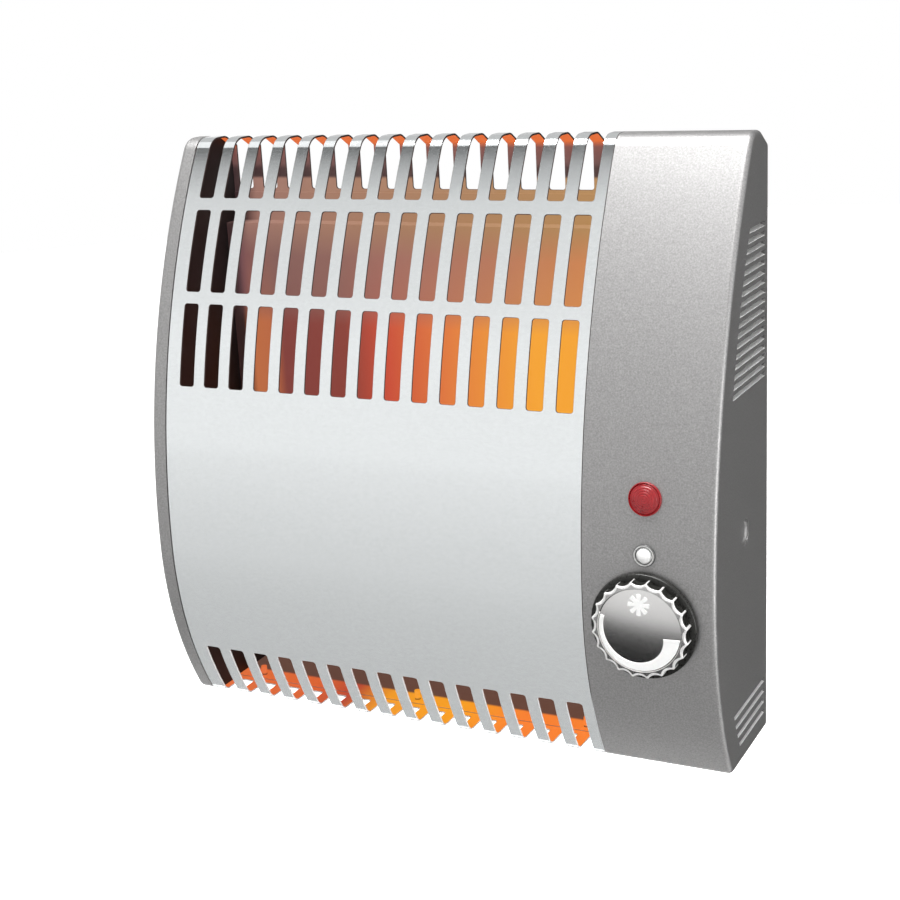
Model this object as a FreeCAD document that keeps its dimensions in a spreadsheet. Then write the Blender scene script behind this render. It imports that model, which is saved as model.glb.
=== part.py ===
import FreeCAD, Part
import math
import os
import re
import Sketcher
from FreeCAD import Placement, Rotation, Vector

# A small wall-hung convector heater for frost protection, as an assembly of separate pieces.
# X runs to the right and Z up. The front faces -Y, and depth is counted from the wall, the plane Y = 0.

doc = FreeCAD.newDocument("FrostHeater")

# Driving sizes, in millimetres and counts
SIZES = (
    ("height", 258.5, "casing height"),
    ("depth", 71, "casing depth at the belly"),
    ("belly_height", 79, "deepest point above the bottom"),
    ("crest_radius", 9, "front bend along the top"),
    ("crest_depth", 15, "front top bend from the wall"),
    ("slope_run", 8.7, "rear slope of the top, from the wall"),
    ("slope_drop", 5, "rear slope of the top, below the crest"),
    ("slope_radius", 6, "bend between the slope and the top"),
    ("lower_radius", 158, "front below the belly"),
    ("toe_radius", 5, "bend along the bottom front"),
    ("left_cap_width", 7.6, "narrow cheek"),
    ("control_cap_width", 55.5, "control cheek"),
    ("left_edge_radius", 2.5, "outer edge of the narrow cheek"),
    ("right_edge_radius", 2.2, "outer edge of the control cheek"),
    ("wall", 2.2, "moulded wall"),
    ("lip", 3.5, "cheek lip under the grille edge"),
    ("sheet", 0.8, "casing sheet"),
    ("fit", 0.2, "clearance between casing pieces"),
    ("slot_count", 15, "slots in a row"),
    ("slot_pitch", 13, "slot spacing"),
    ("slot_width", 7.4, "slot width"),
    ("slot_corner", 1.2, "slot corner radius"),
    ("left_margin", 7.6, "grille left of the first slot"),
    ("right_margin", 5.1, "grille right of the last slot"),
    ("top_row_drop", 24.9, "lower end of the top slots below the crest"),
    ("row_bar", 5.1, "bar between two rows"),
    ("second_row", 34.2, "length of the second row"),
    ("third_row", 35.5, "length of the third row"),
    ("bottom_row_rise", 28.2, "upper end of the bottom slots"),
    ("bottom_row_depth", 37, "rear end of the bottom slots"),
    ("rear_flange", 27.5, "grille flange below the rear slope"),
    ("return_edge", 26, "rear edge of the grille return"),
    ("floor_depth", 34, "front edge of the back panel floor"),
    ("strip_height", 6, "back panel strip behind the flange"),
    ("screw_margin", 12, "grille screws from the chamber ends"),
    ("grille_screw", 6, "grille screw length"),
    ("key_spacing", 110, "between the keyholes"),
    ("key_drop", 58.5, "keyholes below the crest"),
    ("key_radius", 4.5, "keyhole head opening"),
    ("key_slot", 4.6, "keyhole shank slot width"),
    ("key_travel", 9, "keyhole shank slot rise"),
    ("plate", 1, "bulkhead sheet"),
    ("weld_flange", 9, "bulkhead flange on the back panel"),
    ("flange_inset", 6, "bulkhead flange inside the ends of the reflector"),
    ("reflector_depth", 10, "air gap behind the reflector"),
    ("reflector_sheet", 0.6, "reflector sheet"),
    ("reflector_rise", 24, "reflector lower edge above the bottom"),
    ("reflector_drop", 39.5, "reflector upper edge below the crest"),
    ("element_depth", 36, "element tubes from the wall"),
    ("element_rise", 66, "element middle above the bottom"),
    ("element_half", 16, "half the distance between the tubes"),
    ("tube_radius", 4, "element tube"),
    ("tube_fit", 0.1, "clearance around a tube"),
    ("bend_gap", 6, "element bend from the left bulkhead"),
    ("support_gap", 4, "element support from the bend"),
    ("support_margin", 6, "support sheet around the tubes"),
    ("fin_margin", 12, "end fins from the bend and the right bulkhead"),
    ("fin_count", 22, "fins"),
    ("fin_sheet", 0.5, "fin sheet"),
    ("fin_height", 62, "fin height"),
    ("fin_depth", 42, "fin depth"),
    ("support_sheet", 1, "element support sheet"),
    ("support_foot", 8, "element support foot"),
    ("bush_radius", 6.3, "bush neck"),
    ("bush_flange", 8, "bush flange radius"),
    ("bush_head", 3, "bush flange thickness"),
    ("bush_tail", 2, "bush neck beyond the bulkhead"),
    ("tube_end", 4, "tube end beyond the bush"),
    ("pin_radius", 1.6, "element pin"),
    ("pin_length", 11, "element pin and its bead"),
    ("bead_length", 3, "bead on the tube end"),
    ("control_inset", 29, "control line from the right"),
    ("knob_rise", 71.3, "knob axis above the bottom"),
    ("index_rise", 100.2, "index stud above the bottom"),
    ("lamp_rise", 122.8, "lamp above the bottom"),
    ("knob_radius", 20.2, "knob above its skirt"),
    ("knob_height", 6.8, "knob from its rear edge to its face"),
    ("skirt_radius", 22.1, "knob skirt"),
    ("skirt_height", 2.2, "knob skirt height"),
    ("knob_gap", 0.5, "knob skirt in front of the belly"),
    ("knob_face", 2, "knob face thickness"),
    ("flute_count", 20, "knob flutes"),
    ("flute_radius", 4.8, "knob flute"),
    ("flute_depth", 1.2, "knob flute depth"),
    ("hub_radius", 5.5, "knob hub"),
    ("knob_edge", 0.6, "knob face edge"),
    ("seat_recess", 2.5, "flat under the knob behind the belly"),
    ("seat_radius", 18, "flat under the knob"),
    ("seat_thickness", 4, "thermostat seat"),
    ("spindle_radius", 3, "thermostat spindle"),
    ("spindle_fit", 0.08, "running clearance of the spindle"),
    ("spindle_flat", 2.2, "spindle flat from its axis"),
    ("spindle_depth", 6, "spindle inside the thermostat"),
    ("spindle_end", 0.3, "space behind the spindle"),
    ("thermostat_width", 34, "thermostat"),
    ("thermostat_height", 32, "thermostat"),
    ("thermostat_depth", 20, "thermostat"),
    ("fixing_spacing", 26, "thermostat screws"),
    ("fixing_radius", 1.7, "thermostat screw shank"),
    ("fixing_fit", 0.15, "clearance around a screw shank"),
    ("fixing_head", 3.4, "thermostat screw head"),
    ("fixing_height", 2.2, "thermostat screw head height"),
    ("fixing_grip", 6, "thermostat screw inside the thermostat"),
    ("tab_width", 6.3, "push-on tab"),
    ("tab_sheet", 0.8, "push-on tab thickness"),
    ("tab_length", 8, "push-on tab length"),
    ("tab_offset", 9, "thermostat tabs from its axis"),
    ("lens_radius", 6.8, "lamp lens"),
    ("lens_barrel", 5.2, "lamp lens barrel"),
    ("lens_length", 7, "lamp lens barrel length"),
    ("lens_rim", 0.8, "lamp lens rim thickness"),
    ("lens_edge", 0.6, "lamp lens bevel"),
    ("lens_crown", 2.5, "lamp lens above the front"),
    ("lamp_length", 14, "lamp holder"),
    ("tail_length", 6, "lamp wire tail"),
    ("tail_offset", 2.4, "lamp wire tail from the axis"),
    ("tail_radius", 0.5, "lamp wire tail"),
    ("stud_radius", 4.6, "index stud"),
    ("stud_barrel", 2.2, "index stud shank"),
    ("hole_reach", 8, "lamp and index holes to either side of the front"),
    ("stud_length", 6, "index stud shank length"),
    ("stud_crown", 2.3, "index stud above the front"),
    ("ring_width", 1, "ring around the index stud"),
    ("ring_height", 1, "ring around the index stud"),
    ("press_fit", 0.1, "clearance around a moulded barrel"),
    ("post_rise", 100.3, "cheek screw above the bottom"),
    ("post_depth", 31.6, "cheek screw from the wall"),
    ("post_radius", 7.5, "cheek screw post"),
    ("counterbore", 5.5, "counterbore radius in the post"),
    ("post_floor", 2.5, "floor under the screw head"),
    ("plug_thickness", 3, "screw plug"),
    ("plug_sink", 0.5, "screw plug behind the surface"),
    ("plug_rim", 0.7, "screw plug rim"),
    ("plug_dish", 1.1, "screw plug hollow"),
    ("cap_screw_head", 4, "cheek screw head radius"),
    ("cap_screw_shank", 1.9, "cheek screw shank radius"),
    ("cap_screw_height", 2.6, "cheek screw head height"),
    ("cap_screw_grip", 5, "cheek screw beyond the bulkhead"),
    ("louvre_height", 1, "louvre at the inside"),
    ("louvre_slope", 1, "louvre sill drop to the outside"),
    ("louvre_rear", 3.7, "louvre rear end from the wall"),
    ("louvre_inset", 13.5, "louvre front end behind the front"),
    ("upper_count", 17, "upper louvres"),
    ("upper_pitch", 3.84, "upper louvre spacing"),
    ("upper_drop", 36.7, "first upper louvre below the crest"),
    ("lower_count", 4, "lower louvres"),
    ("lower_pitch", 4.9, "lower louvre spacing"),
    ("lower_rise", 10, "first lower louvre above the bottom"),
    ("gland_depth", 12, "cord inlet from the wall"),
    ("gland_neck", 6, "half the width of the square inlet bush neck"),
    ("gland_corner", 1.5, "inlet bush neck corner"),
    ("gland_bore", 3.6, "inlet bush bore radius"),
    ("gland_flange", 8.5, "inlet bush flange radius"),
    ("gland_head", 3, "inlet bush flange thickness"),
    ("gland_edge", 0.6, "inlet bush flange bevel"),
    ("gland_lip", 3, "inlet bush lip inside the cheek"),
    ("gland_snap", 1.5, "inlet bush lip past its neck"),
    ("clamp_rise", 20, "cord clamp above the bottom"),
    ("clamp_length", 30, "cord clamp"),
    ("clamp_width", 8, "cord clamp"),
    ("clamp_gap", 7.4, "cord clamp opening"),
    ("clamp_foot", 7, "cord clamp foot"),
    ("clamp_bridge", 3, "cord clamp thickness over the cord"),
    ("clamp_inset", 4, "cord clamp screws from its ends"),
    ("block_rise", 42, "terminal block middle above the bottom"),
    ("pole_pitch", 10, "terminal block poles"),
    ("block_height", 20, "terminal block"),
    ("block_depth", 15, "terminal block"),
    ("screw_row", 5, "terminal screws from the block middle"),
    ("pole_recess", 3, "terminal screw recess"),
    ("pole_grip", 4, "terminal screw inside the block"),
    ("pole_fit", 0.3, "clearance around a terminal screw head"),
    ("cutout_rise", 150, "thermal cut-out above the bottom"),
    ("cutout_depth", 30, "thermal cut-out from the wall"),
    ("cutout_radius", 8, "thermal cut-out"),
    ("cutout_height", 9, "thermal cut-out"),
    ("cutout_plate", 1, "thermal cut-out flange plate"),
    ("cutout_ear", 4, "cut-out screws outside its body"),
    ("cutout_land", 2, "cut-out body around its window"),
    ("cutout_tab", 4, "cut-out tabs from its axis"),
    ("small_head", 2.7, "small screw head radius"),
    ("small_shank", 1.4, "small screw shank radius"),
    ("small_height", 2, "small screw head height"),
    ("cutout_screw", 5, "cut-out screw below the flange plate"),
    ("earth_length", 5, "earth screw length"),
    ("earth_setback", 19, "earth screw behind the deepest front"),
    ("earth_rise", 30, "earth screw above the bottom"),
    ("lead_radius", 1.2, "internal lead"),
)

# Places worked out from the driving sizes
LAYOUT = (
    ("grille_width", "(slot_count - 1) * slot_pitch + slot_width + left_margin + right_margin"),
    ("x_left", "-(left_cap_width + grille_width + control_cap_width) / 2"),
    ("x_grille_left", "x_left + left_cap_width"),
    ("x_grille_right", "x_grille_left + grille_width"),
    ("x_right", "x_grille_right + control_cap_width"),
    ("x_first_slot", "x_grille_left + left_margin + slot_width / 2"),
    ("z_bottom", "-height / 2"),
    ("z_top", "height / 2"),
    ("z_belly", "z_bottom + belly_height"),
    ("crest_arm", "height - crest_radius - belly_height"),
    ("crest_reach", "(depth - crest_depth)^2 + crest_arm^2 - crest_radius^2"),
    ("upper_radius", "crest_reach / (2 * (depth - crest_depth - crest_radius))"),
    ("slope_length", "sqrt(slope_run^2 + slope_drop^2)"),
    ("slope_rear", "(slope_length - slope_drop) / slope_run"),
    ("slope_top", "(slope_length - slope_run) / slope_drop"),
    ("slope_bend", "slope_run + slope_radius * slope_top"),
    ("skin", "sheet + fit"),
    ("z_flange", "z_top - slope_drop - rear_flange"),
    ("z_row_one", "z_top - top_row_drop"),
    ("z_row_two", "z_row_one - row_bar - second_row"),
    ("z_row_three", "z_row_two - row_bar - third_row"),
    ("x_left_plate", "x_grille_left + lip + fit"),
    ("x_chamber_left", "x_left_plate + plate"),
    ("x_right_plate", "x_grille_right - lip - fit"),
    ("x_chamber_right", "x_right_plate - plate"),
    ("z_reflector_low", "z_bottom + reflector_rise"),
    ("z_reflector_high", "z_top - reflector_drop"),
    ("z_element", "z_bottom + element_rise"),
    ("x_bend", "x_chamber_left + bend_gap + element_half + tube_radius"),
    ("x_support", "x_bend + support_gap"),
    ("x_first_fin", "x_bend + fin_margin"),
    ("fin_span", "x_chamber_right - fin_margin - x_first_fin"),
    ("x_tube_end", "x_right_plate + bush_head + tube_end"),
    ("x_control", "x_right - control_inset"),
    ("z_knob", "z_bottom + knob_rise"),
    ("z_index", "z_bottom + index_rise"),
    ("z_lamp", "z_bottom + lamp_rise"),
    ("lamp_sine", "(z_lamp - z_belly) / upper_radius"),
    ("lamp_cosine", "sqrt(1 - lamp_sine^2)"),
    ("lamp_face", "depth - upper_radius * (1 - lamp_cosine)"),
    ("index_sine", "(z_index - z_belly) / upper_radius"),
    ("index_cosine", "sqrt(1 - index_sine^2)"),
    ("index_face", "depth - upper_radius * (1 - index_cosine)"),
    ("seat_front", "depth - seat_recess"),
    ("seat_back", "seat_front - seat_thickness"),
    ("thermostat_rear", "seat_back - thermostat_depth"),
    ("knob_back", "depth + knob_gap"),
    ("z_post", "z_bottom + post_rise"),
    ("x_left_floor", "x_left_plate - post_floor"),
    ("x_right_floor", "x_right_plate + post_floor"),
    ("z_upper_louvre", "z_top - upper_drop"),
    ("z_lower_louvre", "z_bottom + lower_rise"),
    ("z_clamp", "z_bottom + clamp_rise"),
    ("clamp_seat", "gland_depth - clamp_gap / 2"),
    ("z_block", "z_bottom + block_rise"),
    ("block_front", "wall + block_depth"),
    ("z_cutout", "z_bottom + cutout_rise"),
    ("earth_depth", "depth - earth_setback"),
    ("z_earth", "z_bottom + earth_rise"),
    ("floor_level", "z_bottom + skin"),
    ("x_first_screw", "x_chamber_left + screw_margin"),
    ("screw_span", "x_chamber_right - x_chamber_left - 2 * screw_margin"),
    ("screw_depth", "(return_edge + floor_depth) / 2"),
    ("cutout_arm", "cutout_radius + cutout_ear"),
    ("clamp_arm", "clamp_length / 2 - clamp_inset"),
    ("clamp_front", "clamp_seat + clamp_gap + clamp_bridge"),
    ("lamp_end", "lens_length + lamp_length + tail_length"),
)

OWNER = {}


def qualified(text):
    """An expression with each size word led by the name of the sheet that holds it."""
    return re.sub(r"[a-z_]+", lambda m: OWNER.get(m[0], "") + m[0], text)


def fill_sheet(name, rows):
    """A spreadsheet with one alias a row: the alias, its value and what it is."""
    sheet = doc.addObject("Spreadsheet::Sheet", name)
    for number, row in enumerate(rows, 1):
        sheet.set(f"A{number}", row[0])
        text = str(row[1])
        sheet.set(f"B{number}", "=" + qualified(text) if len(row) == 2 else text)
        sheet.setAlias(f"B{number}", row[0])
        OWNER[row[0]] = name + "."
        if len(row) == 3:
            sheet.set(f"C{number}", row[2])
    doc.recompute()
    return sheet


fill_sheet("Sizes", SIZES)
layout = fill_sheet("Layout", LAYOUT)


def size(text):
    """The number that an expression stands for."""
    return float(layout.evalExpression(qualified(text)))


def bind(item, path, text):
    item.setExpression(path, qualified(text))


# Sketch helpers
def new_body(label):
    body = doc.addObject("PartDesign::Body", "Body_" + label)
    body.Label = label
    return body


def origin_item(body, role):
    return next(item for item in body.Origin.OriginFeatures if item.Role == role)


def new_sketch(body, plane, offset="0"):
    """A sketch on an origin plane of the body, moved along the plane's normal."""
    sketch = body.newObject("Sketcher::SketchObject", "Sketch")
    sketch.AttachmentSupport = [(origin_item(body, plane + "_Plane"), "")]
    sketch.MapMode = "FlatFace"
    bind(sketch, "AttachmentOffset.Base.z", offset)
    return sketch


def rule(sketch, *terms):
    return sketch.addConstraint(Sketcher.Constraint(*terms))


def measure(sketch, kind, terms, text):
    """A driving dimension bound to an expression."""
    index = rule(sketch, kind, *terms, size(text))
    bind(sketch, f"Constraints[{index}]", text)


def pin(sketch, item, end, u, v):
    """Fixes a point of the sketch at two expressions, on an axis where one is 0."""
    if u == "0":
        rule(sketch, "PointOnObject", item, end, -2)
    else:
        measure(sketch, "DistanceX", (-1, 1, item, end), u)
    if v == "0":
        rule(sketch, "PointOnObject", item, end, -1)
    else:
        measure(sketch, "DistanceY", (-1, 1, item, end), v)


def polygon(sketch, points):
    """A closed outline with every corner fixed."""
    spots = [Vector(size(u), size(v), 0) for u, v in points]
    count = len(spots)
    first = sketch.GeometryCount
    for here, there in zip(spots, spots[1:] + spots[:1]):
        sketch.addGeometry(Part.LineSegment(here, there))
    for index in range(count):
        rule(sketch, "Coincident", first + index, 2, first + (index + 1) % count, 1)
    for index, (u, v) in enumerate(points):
        pin(sketch, first + index, 1, u, v)


def rectangle(sketch, u0, u1, v0, v1):
    polygon(sketch, [(u0, v0), (u1, v0), (u1, v1), (u0, v1)])


def circle(sketch, u, v, radius):
    index = sketch.addGeometry(Part.Circle(Vector(size(u), size(v), 0), Vector(0, 0, 1), size(radius)))
    pin(sketch, index, 3, u, v)
    measure(sketch, "Radius", (index,), radius)


def arc(sketch, centre, radius, start, end):
    """An arc between two points, drawn anticlockwise; angles come from the points."""
    from_angle = Vector(1, 0, 0).getAngle(start - centre) * (1 if start.y >= centre.y else -1)
    to_angle = Vector(1, 0, 0).getAngle(end - centre) * (1 if end.y >= centre.y else -1)
    round_line = Part.Circle(centre, Vector(0, 0, 1), radius)
    return sketch.addGeometry(Part.ArcOfCircle(round_line, from_angle, to_angle))


def rounded_slot(sketch, u0, u1, v0, v1, radius):
    """A rectangle with four equal rounded corners."""
    left, right, low, high, r = (size(text) for text in (u0, u1, v0, v1, radius))
    corners = [(right - r, low + r), (right - r, high - r), (left + r, high - r), (left + r, low + r)]
    ends = [
        (Vector(left + r, low, 0), Vector(right - r, low, 0)),
        (Vector(right, low + r, 0), Vector(right, high - r, 0)),
        (Vector(right - r, high, 0), Vector(left + r, high, 0)),
        (Vector(left, high - r, 0), Vector(left, low + r, 0)),
    ]
    sides = [sketch.addGeometry(Part.LineSegment(*pair)) for pair in ends]
    bends = []
    for index, corner in enumerate(corners):
        bends.append(arc(sketch, Vector(*corner, 0), r, ends[index][1], ends[(index + 1) % 4][0]))
    for index in range(4):
        rule(sketch, "Tangent", sides[index], 2, bends[index], 1)
        rule(sketch, "Tangent", bends[index], 2, sides[(index + 1) % 4], 1)
    rule(sketch, "Horizontal", sides[0])
    rule(sketch, "Vertical", sides[1])
    for bend in bends[1:]:
        rule(sketch, "Equal", bends[0], bend)
    measure(sketch, "Radius", (bends[0],), radius)
    measure(sketch, "DistanceY", (-1, 1, sides[0], 1), v0)
    measure(sketch, "DistanceX", (-1, 1, sides[1], 1), u1)
    measure(sketch, "DistanceY", (-1, 1, sides[2], 1), v1)
    measure(sketch, "DistanceX", (-1, 1, sides[3], 1), u0)


def side_profile(sketch, inset):
    """The casing seen from its side, drawn on the YZ plane and moved inwards by an inset.

    The back and the underside are straight. A slope leads from the back to a short flat top through a bend. Four
    arcs, each tangent to the next, make the front top bend, the front above the belly, the front below it and the
    bottom bend. The upper radius follows from the other sizes.
    """
    b = size(inset)
    crest = Vector(-size("crest_depth"), size("z_top - crest_radius"), 0)
    rear = Vector(-size("slope_bend"), size("z_top - slope_radius"), 0)
    upper = Vector(size("upper_radius - depth"), size("z_belly"), 0)
    lower = Vector(size("lower_radius - depth"), size("z_belly"), 0)
    reach = size("lower_radius - toe_radius")
    toe_v = size("z_bottom + toe_radius")
    toe = Vector(lower.x - (reach**2 - (lower.y - toe_v) ** 2) ** 0.5, toe_v, 0)
    heel = Vector(-b, size("z_bottom") + b, 0)
    back_top = Vector(-b, size(f"z_top - slope_drop - ({inset}) * slope_rear"), 0)
    out = Vector(size("slope_drop"), size("slope_run"), 0).normalize()
    slope_end = rear + out * (size("slope_radius") - b)
    top_start = Vector(rear.x, size("z_top") - b, 0)
    top_end = Vector(crest.x, size("z_top") - b, 0)
    belly = Vector(b - size("depth"), upper.y, 0)
    crest_end = upper + (crest - upper).normalize() * (size("upper_radius") - b)
    toe_start = lower + (toe - lower).normalize() * (size("lower_radius") - b)
    toe_end = Vector(toe.x, heel.y, 0)
    back = sketch.addGeometry(Part.LineSegment(heel, back_top))
    slope = sketch.addGeometry(Part.LineSegment(back_top, slope_end))
    turn = arc(sketch, rear, size("slope_radius") - b, slope_end, top_start)
    flat = sketch.addGeometry(Part.LineSegment(top_start, top_end))
    top = arc(sketch, crest, size("crest_radius") - b, top_end, crest_end)
    front = arc(sketch, upper, size("upper_radius") - b, crest_end, belly)
    below = arc(sketch, lower, size("lower_radius") - b, belly, toe_start)
    bend = arc(sketch, toe, size("toe_radius") - b, toe_start, toe_end)
    under = sketch.addGeometry(Part.LineSegment(toe_end, heel))
    chain = (slope, turn, flat, top, front, below, bend, under)
    for one, other in zip(chain, chain[1:]):
        rule(sketch, "Tangent", one, 2, other, 1)
    rule(sketch, "Coincident", back, 2, slope, 1)
    rule(sketch, "Coincident", under, 2, back, 1)
    rule(sketch, "Vertical", back)
    rule(sketch, "Horizontal", flat)
    rule(sketch, "Horizontal", under)
    measure(sketch, "DistanceX", (-1, 1, back, 1), f"-({inset})")
    measure(sketch, "DistanceY", (-1, 1, back, 1), f"z_bottom + {inset}")
    measure(sketch, "DistanceY", (-1, 1, back, 2), f"z_top - slope_drop - ({inset}) * slope_rear")
    measure(sketch, "Radius", (turn,), f"slope_radius - ({inset})")
    pin(sketch, turn, 3, "-slope_bend", "z_top - slope_radius")
    measure(sketch, "Radius", (top,), f"crest_radius - ({inset})")
    measure(sketch, "DistanceX", (-1, 1, top, 3), "-crest_depth")
    measure(sketch, "DistanceY", (-1, 1, front, 3), "z_belly")
    pin(sketch, front, 2, f"{inset} - depth", "z_belly")
    measure(sketch, "Radius", (below,), f"lower_radius - ({inset})")
    measure(sketch, "Radius", (bend,), f"toe_radius - ({inset})")


# Feature helpers
def settle(feature):
    doc.recompute()
    if "Invalid" in feature.State or not feature.Shape.isValid():
        raise RuntimeError(f"{feature.Label} is not valid: {feature.State}")
    return feature


def pad(body, sketch, length, reverse=False):
    feature = body.newObject("PartDesign::Pad", "Pad")
    feature.Profile = sketch
    bind(feature, "Length", length)
    feature.Reversed = reverse
    return settle(feature)


def pocket(body, sketch, length=None, along=False):
    """Cuts against the sketch normal, or along it, through everything where no length is given."""
    before = body.Shape.Volume
    feature = body.newObject("PartDesign::Pocket", "Pocket")
    feature.Profile = sketch
    feature.Reversed = along
    if length is None:
        feature.Type = "ThroughAll"
    else:
        bind(feature, "Length", length)
    settle(feature)
    if not feature.Shape.Volume < before - 1e-6:
        raise RuntimeError(f"{body.Label}: {feature.Label} cuts nothing")
    return feature


def row(body, features, role, count, length):
    """Repeats features along an origin axis of the body."""
    pattern = body.newObject("PartDesign::LinearPattern", "Row")
    pattern.Originals = features
    pattern.Direction = (origin_item(body, role), [""])
    bind(pattern, "Length", length)
    bind(pattern, "Occurrences", count)
    body.Tip = pattern
    return settle(pattern)


def spin(body, points):
    """Turns an outline of (radius, height) corners about the body's own Z axis."""
    sketch = new_sketch(body, "XZ")
    polygon(sketch, points)
    feature = body.newObject("PartDesign::Revolution", "Turned")
    feature.Profile = sketch
    feature.ReferenceAxis = (sketch, ["V_Axis"])
    feature.Angle = 360
    return settle(feature)


def round_edges(body, chosen, radius):
    feature = body.newObject("PartDesign::Fillet", "Rounded")
    base = body.Tip if body.Tip is not feature else feature.BaseFeature
    feature.Base = (base, [f"Edge{n}" for n, edge in enumerate(base.Shape.Edges, 1) if chosen(edge)])
    bind(feature, "Radius", radius)
    return settle(feature)


def place(item, x, y, z, rotation=None):
    """Puts a piece at three expressions, turned by a rotation."""
    if rotation is not None:
        item.Placement = Placement(Vector(size(x), size(y), size(z)), rotation)
    for axis, text in zip("xyz", (x, y, z)):
        bind(item, f"Placement.Base.{axis}", text)
    return item


TO_FRONT = Rotation(Vector(1, 0, 0), 90)
TO_RIGHT = Rotation(Vector(0, 1, 0), 90)
TO_LEFT = Rotation(Vector(0, 1, 0), -90)
DOWN = Rotation(Vector(1, 0, 0), 180)


def screw(label, head, head_height, shank, length):
    """A pan-head screw about the body's Z axis, its head above the plane Z = 0."""
    body = new_body(label)
    spin(body, [
        ("0", f"-({length})"), (shank, f"-({length})"), (shank, "0"), (head, "0"),
        (head, f"{head_height} * 0.5"), (f"{head} * 0.65", head_height), ("0", head_height),
    ])
    return body


def group(label, members):
    """Several separate solids kept as one piece."""
    item = doc.addObject("Part::Compound", "Group_" + label)
    item.Label = label
    item.Links = members
    return settle(item)


# Casing
def front_grille():
    """One sheet from the rear flange over the top, down the front and round the bottom bend."""
    body = new_body("front_grille")
    sketch = new_sketch(body, "YZ", "x_grille_left + fit")
    side_profile(sketch, "0")
    pad(body, sketch, "grille_width - 2 * fit")
    sketch = new_sketch(body, "YZ", "x_grille_left")
    side_profile(sketch, "sheet")
    pocket(body, sketch, "grille_width", along=True)
    sketch = new_sketch(body, "YZ", "x_grille_left")
    polygon(sketch, [
        ("1", "z_flange"), ("-2 * sheet", "z_flange"), ("-2 * sheet", "z_bottom + 2 * sheet"),
        ("-return_edge", "z_bottom + 2 * sheet"), ("-return_edge", "z_bottom - 1"), ("1", "z_bottom - 1"),
    ])
    pocket(body, sketch, "grille_width", along=True)
    left = "x_first_slot - slot_width / 2"
    right = "x_first_slot + slot_width / 2"
    cuts = []
    sketch = new_sketch(body, "XZ", "-1")
    rounded_slot(sketch, left, right, "z_row_one", "z_top + 5", "slot_corner")
    cuts.append(pocket(body, sketch, along=True))
    for low, length in (("z_row_two", "second_row"), ("z_row_three", "third_row")):
        sketch = new_sketch(body, "XZ", "2 * sheet + 1")
        rounded_slot(sketch, left, right, low, f"{low} + {length}", "slot_corner")
        cuts.append(pocket(body, sketch, along=True))
    sketch = new_sketch(body, "XZ", "bottom_row_depth")
    rounded_slot(sketch, left, right, "z_bottom - 5", "z_bottom + bottom_row_rise", "slot_corner")
    cuts.append(pocket(body, sketch, along=True))
    row(body, cuts, "X_Axis", "slot_count", "(slot_count - 1) * slot_pitch")
    sketch = new_sketch(body, "XY", "z_bottom")
    circle(sketch, "x_first_screw", "-screw_depth", "small_shank + fixing_fit")
    hole = pocket(body, sketch, "sheet", along=True)
    row(body, [hole], "X_Axis", "3", "screw_span")
    return body


def back_panel():
    """The rear sheet: plate, joggled strip behind the grille flange, and a floor."""
    body = new_body("back_panel")
    sketch = new_sketch(body, "XZ")
    rectangle(sketch, "x_grille_left + fit", "x_grille_right - fit", "floor_level", "z_flange - fit")
    pad(body, sketch, "sheet")
    left = "x_chamber_left + fit"
    right = "x_chamber_right - fit"
    sketch = new_sketch(body, "XZ", "0")
    rectangle(sketch, left, right, "floor_level", "floor_level + sheet")
    pad(body, sketch, "floor_depth")
    sketch = new_sketch(body, "XZ", "sheet / 2")
    rectangle(sketch, left, right, "z_flange - fit - sheet", "z_flange - fit")
    pad(body, sketch, "skin + sheet / 2")
    sketch = new_sketch(body, "XZ", "skin")
    rectangle(sketch, left, right, "z_flange - fit - sheet", "z_flange + strip_height")
    pad(body, sketch, "sheet")
    sketch = new_sketch(body, "XZ", "sheet")
    circle(sketch, "-key_spacing / 2", "z_top - key_drop", "key_radius")
    head = pocket(body, sketch, "sheet")
    sketch = new_sketch(body, "XZ", "sheet")
    rounded_slot(
        sketch, "-(key_spacing + key_slot) / 2", "-(key_spacing - key_slot) / 2",
        "z_top - key_drop", "z_top - key_drop + key_travel", "key_slot * 0.48",
    )
    shank = pocket(body, sketch, "sheet")
    row(body, [head, shank], "X_Axis", "2", "key_spacing")
    sketch = new_sketch(body, "XY", "floor_level + sheet")
    circle(sketch, "x_first_screw", "-screw_depth", "small_shank + fixing_fit")
    hole = pocket(body, sketch, "sheet + 1")
    row(body, [hole], "X_Axis", "3", "screw_span")
    return body


def at_x(edge, x):
    """Whether an edge lies in the plane X = x."""
    return abs(edge.BoundBox.XMin - x) < 1e-4 and abs(edge.BoundBox.XMax - x) < 1e-4


def left_end_cap():
    """A shallow moulded cheek with a lip under the grille and one screw post."""
    body = new_body("left_end_cap")
    sketch = new_sketch(body, "YZ", "x_left")
    side_profile(sketch, "0")
    pad(body, sketch, "left_cap_width")
    edge_x = size("x_left")
    round_edges(body, lambda edge: at_x(edge, edge_x) and edge.BoundBox.YMin < -1, "left_edge_radius")
    sketch = new_sketch(body, "YZ", "x_grille_left - wall")
    side_profile(sketch, "skin")
    pad(body, sketch, "lip + wall")
    sketch = new_sketch(body, "YZ", "x_left + wall")
    side_profile(sketch, "wall")
    pocket(body, sketch, "left_cap_width + lip", along=True)
    sketch = new_sketch(body, "YZ", "x_left_plate")
    circle(sketch, "-post_depth", "z_post", "post_radius")
    pad(body, sketch, "x_left_plate - x_left - wall / 2", reverse=True)
    sketch = new_sketch(body, "YZ", "x_left_floor")
    circle(sketch, "-post_depth", "z_post", "counterbore")
    pocket(body, sketch)
    sketch = new_sketch(body, "YZ", "x_left_plate")
    circle(sketch, "-post_depth", "z_post", "cap_screw_shank + fixing_fit")
    pocket(body, sketch)
    return body


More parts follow.
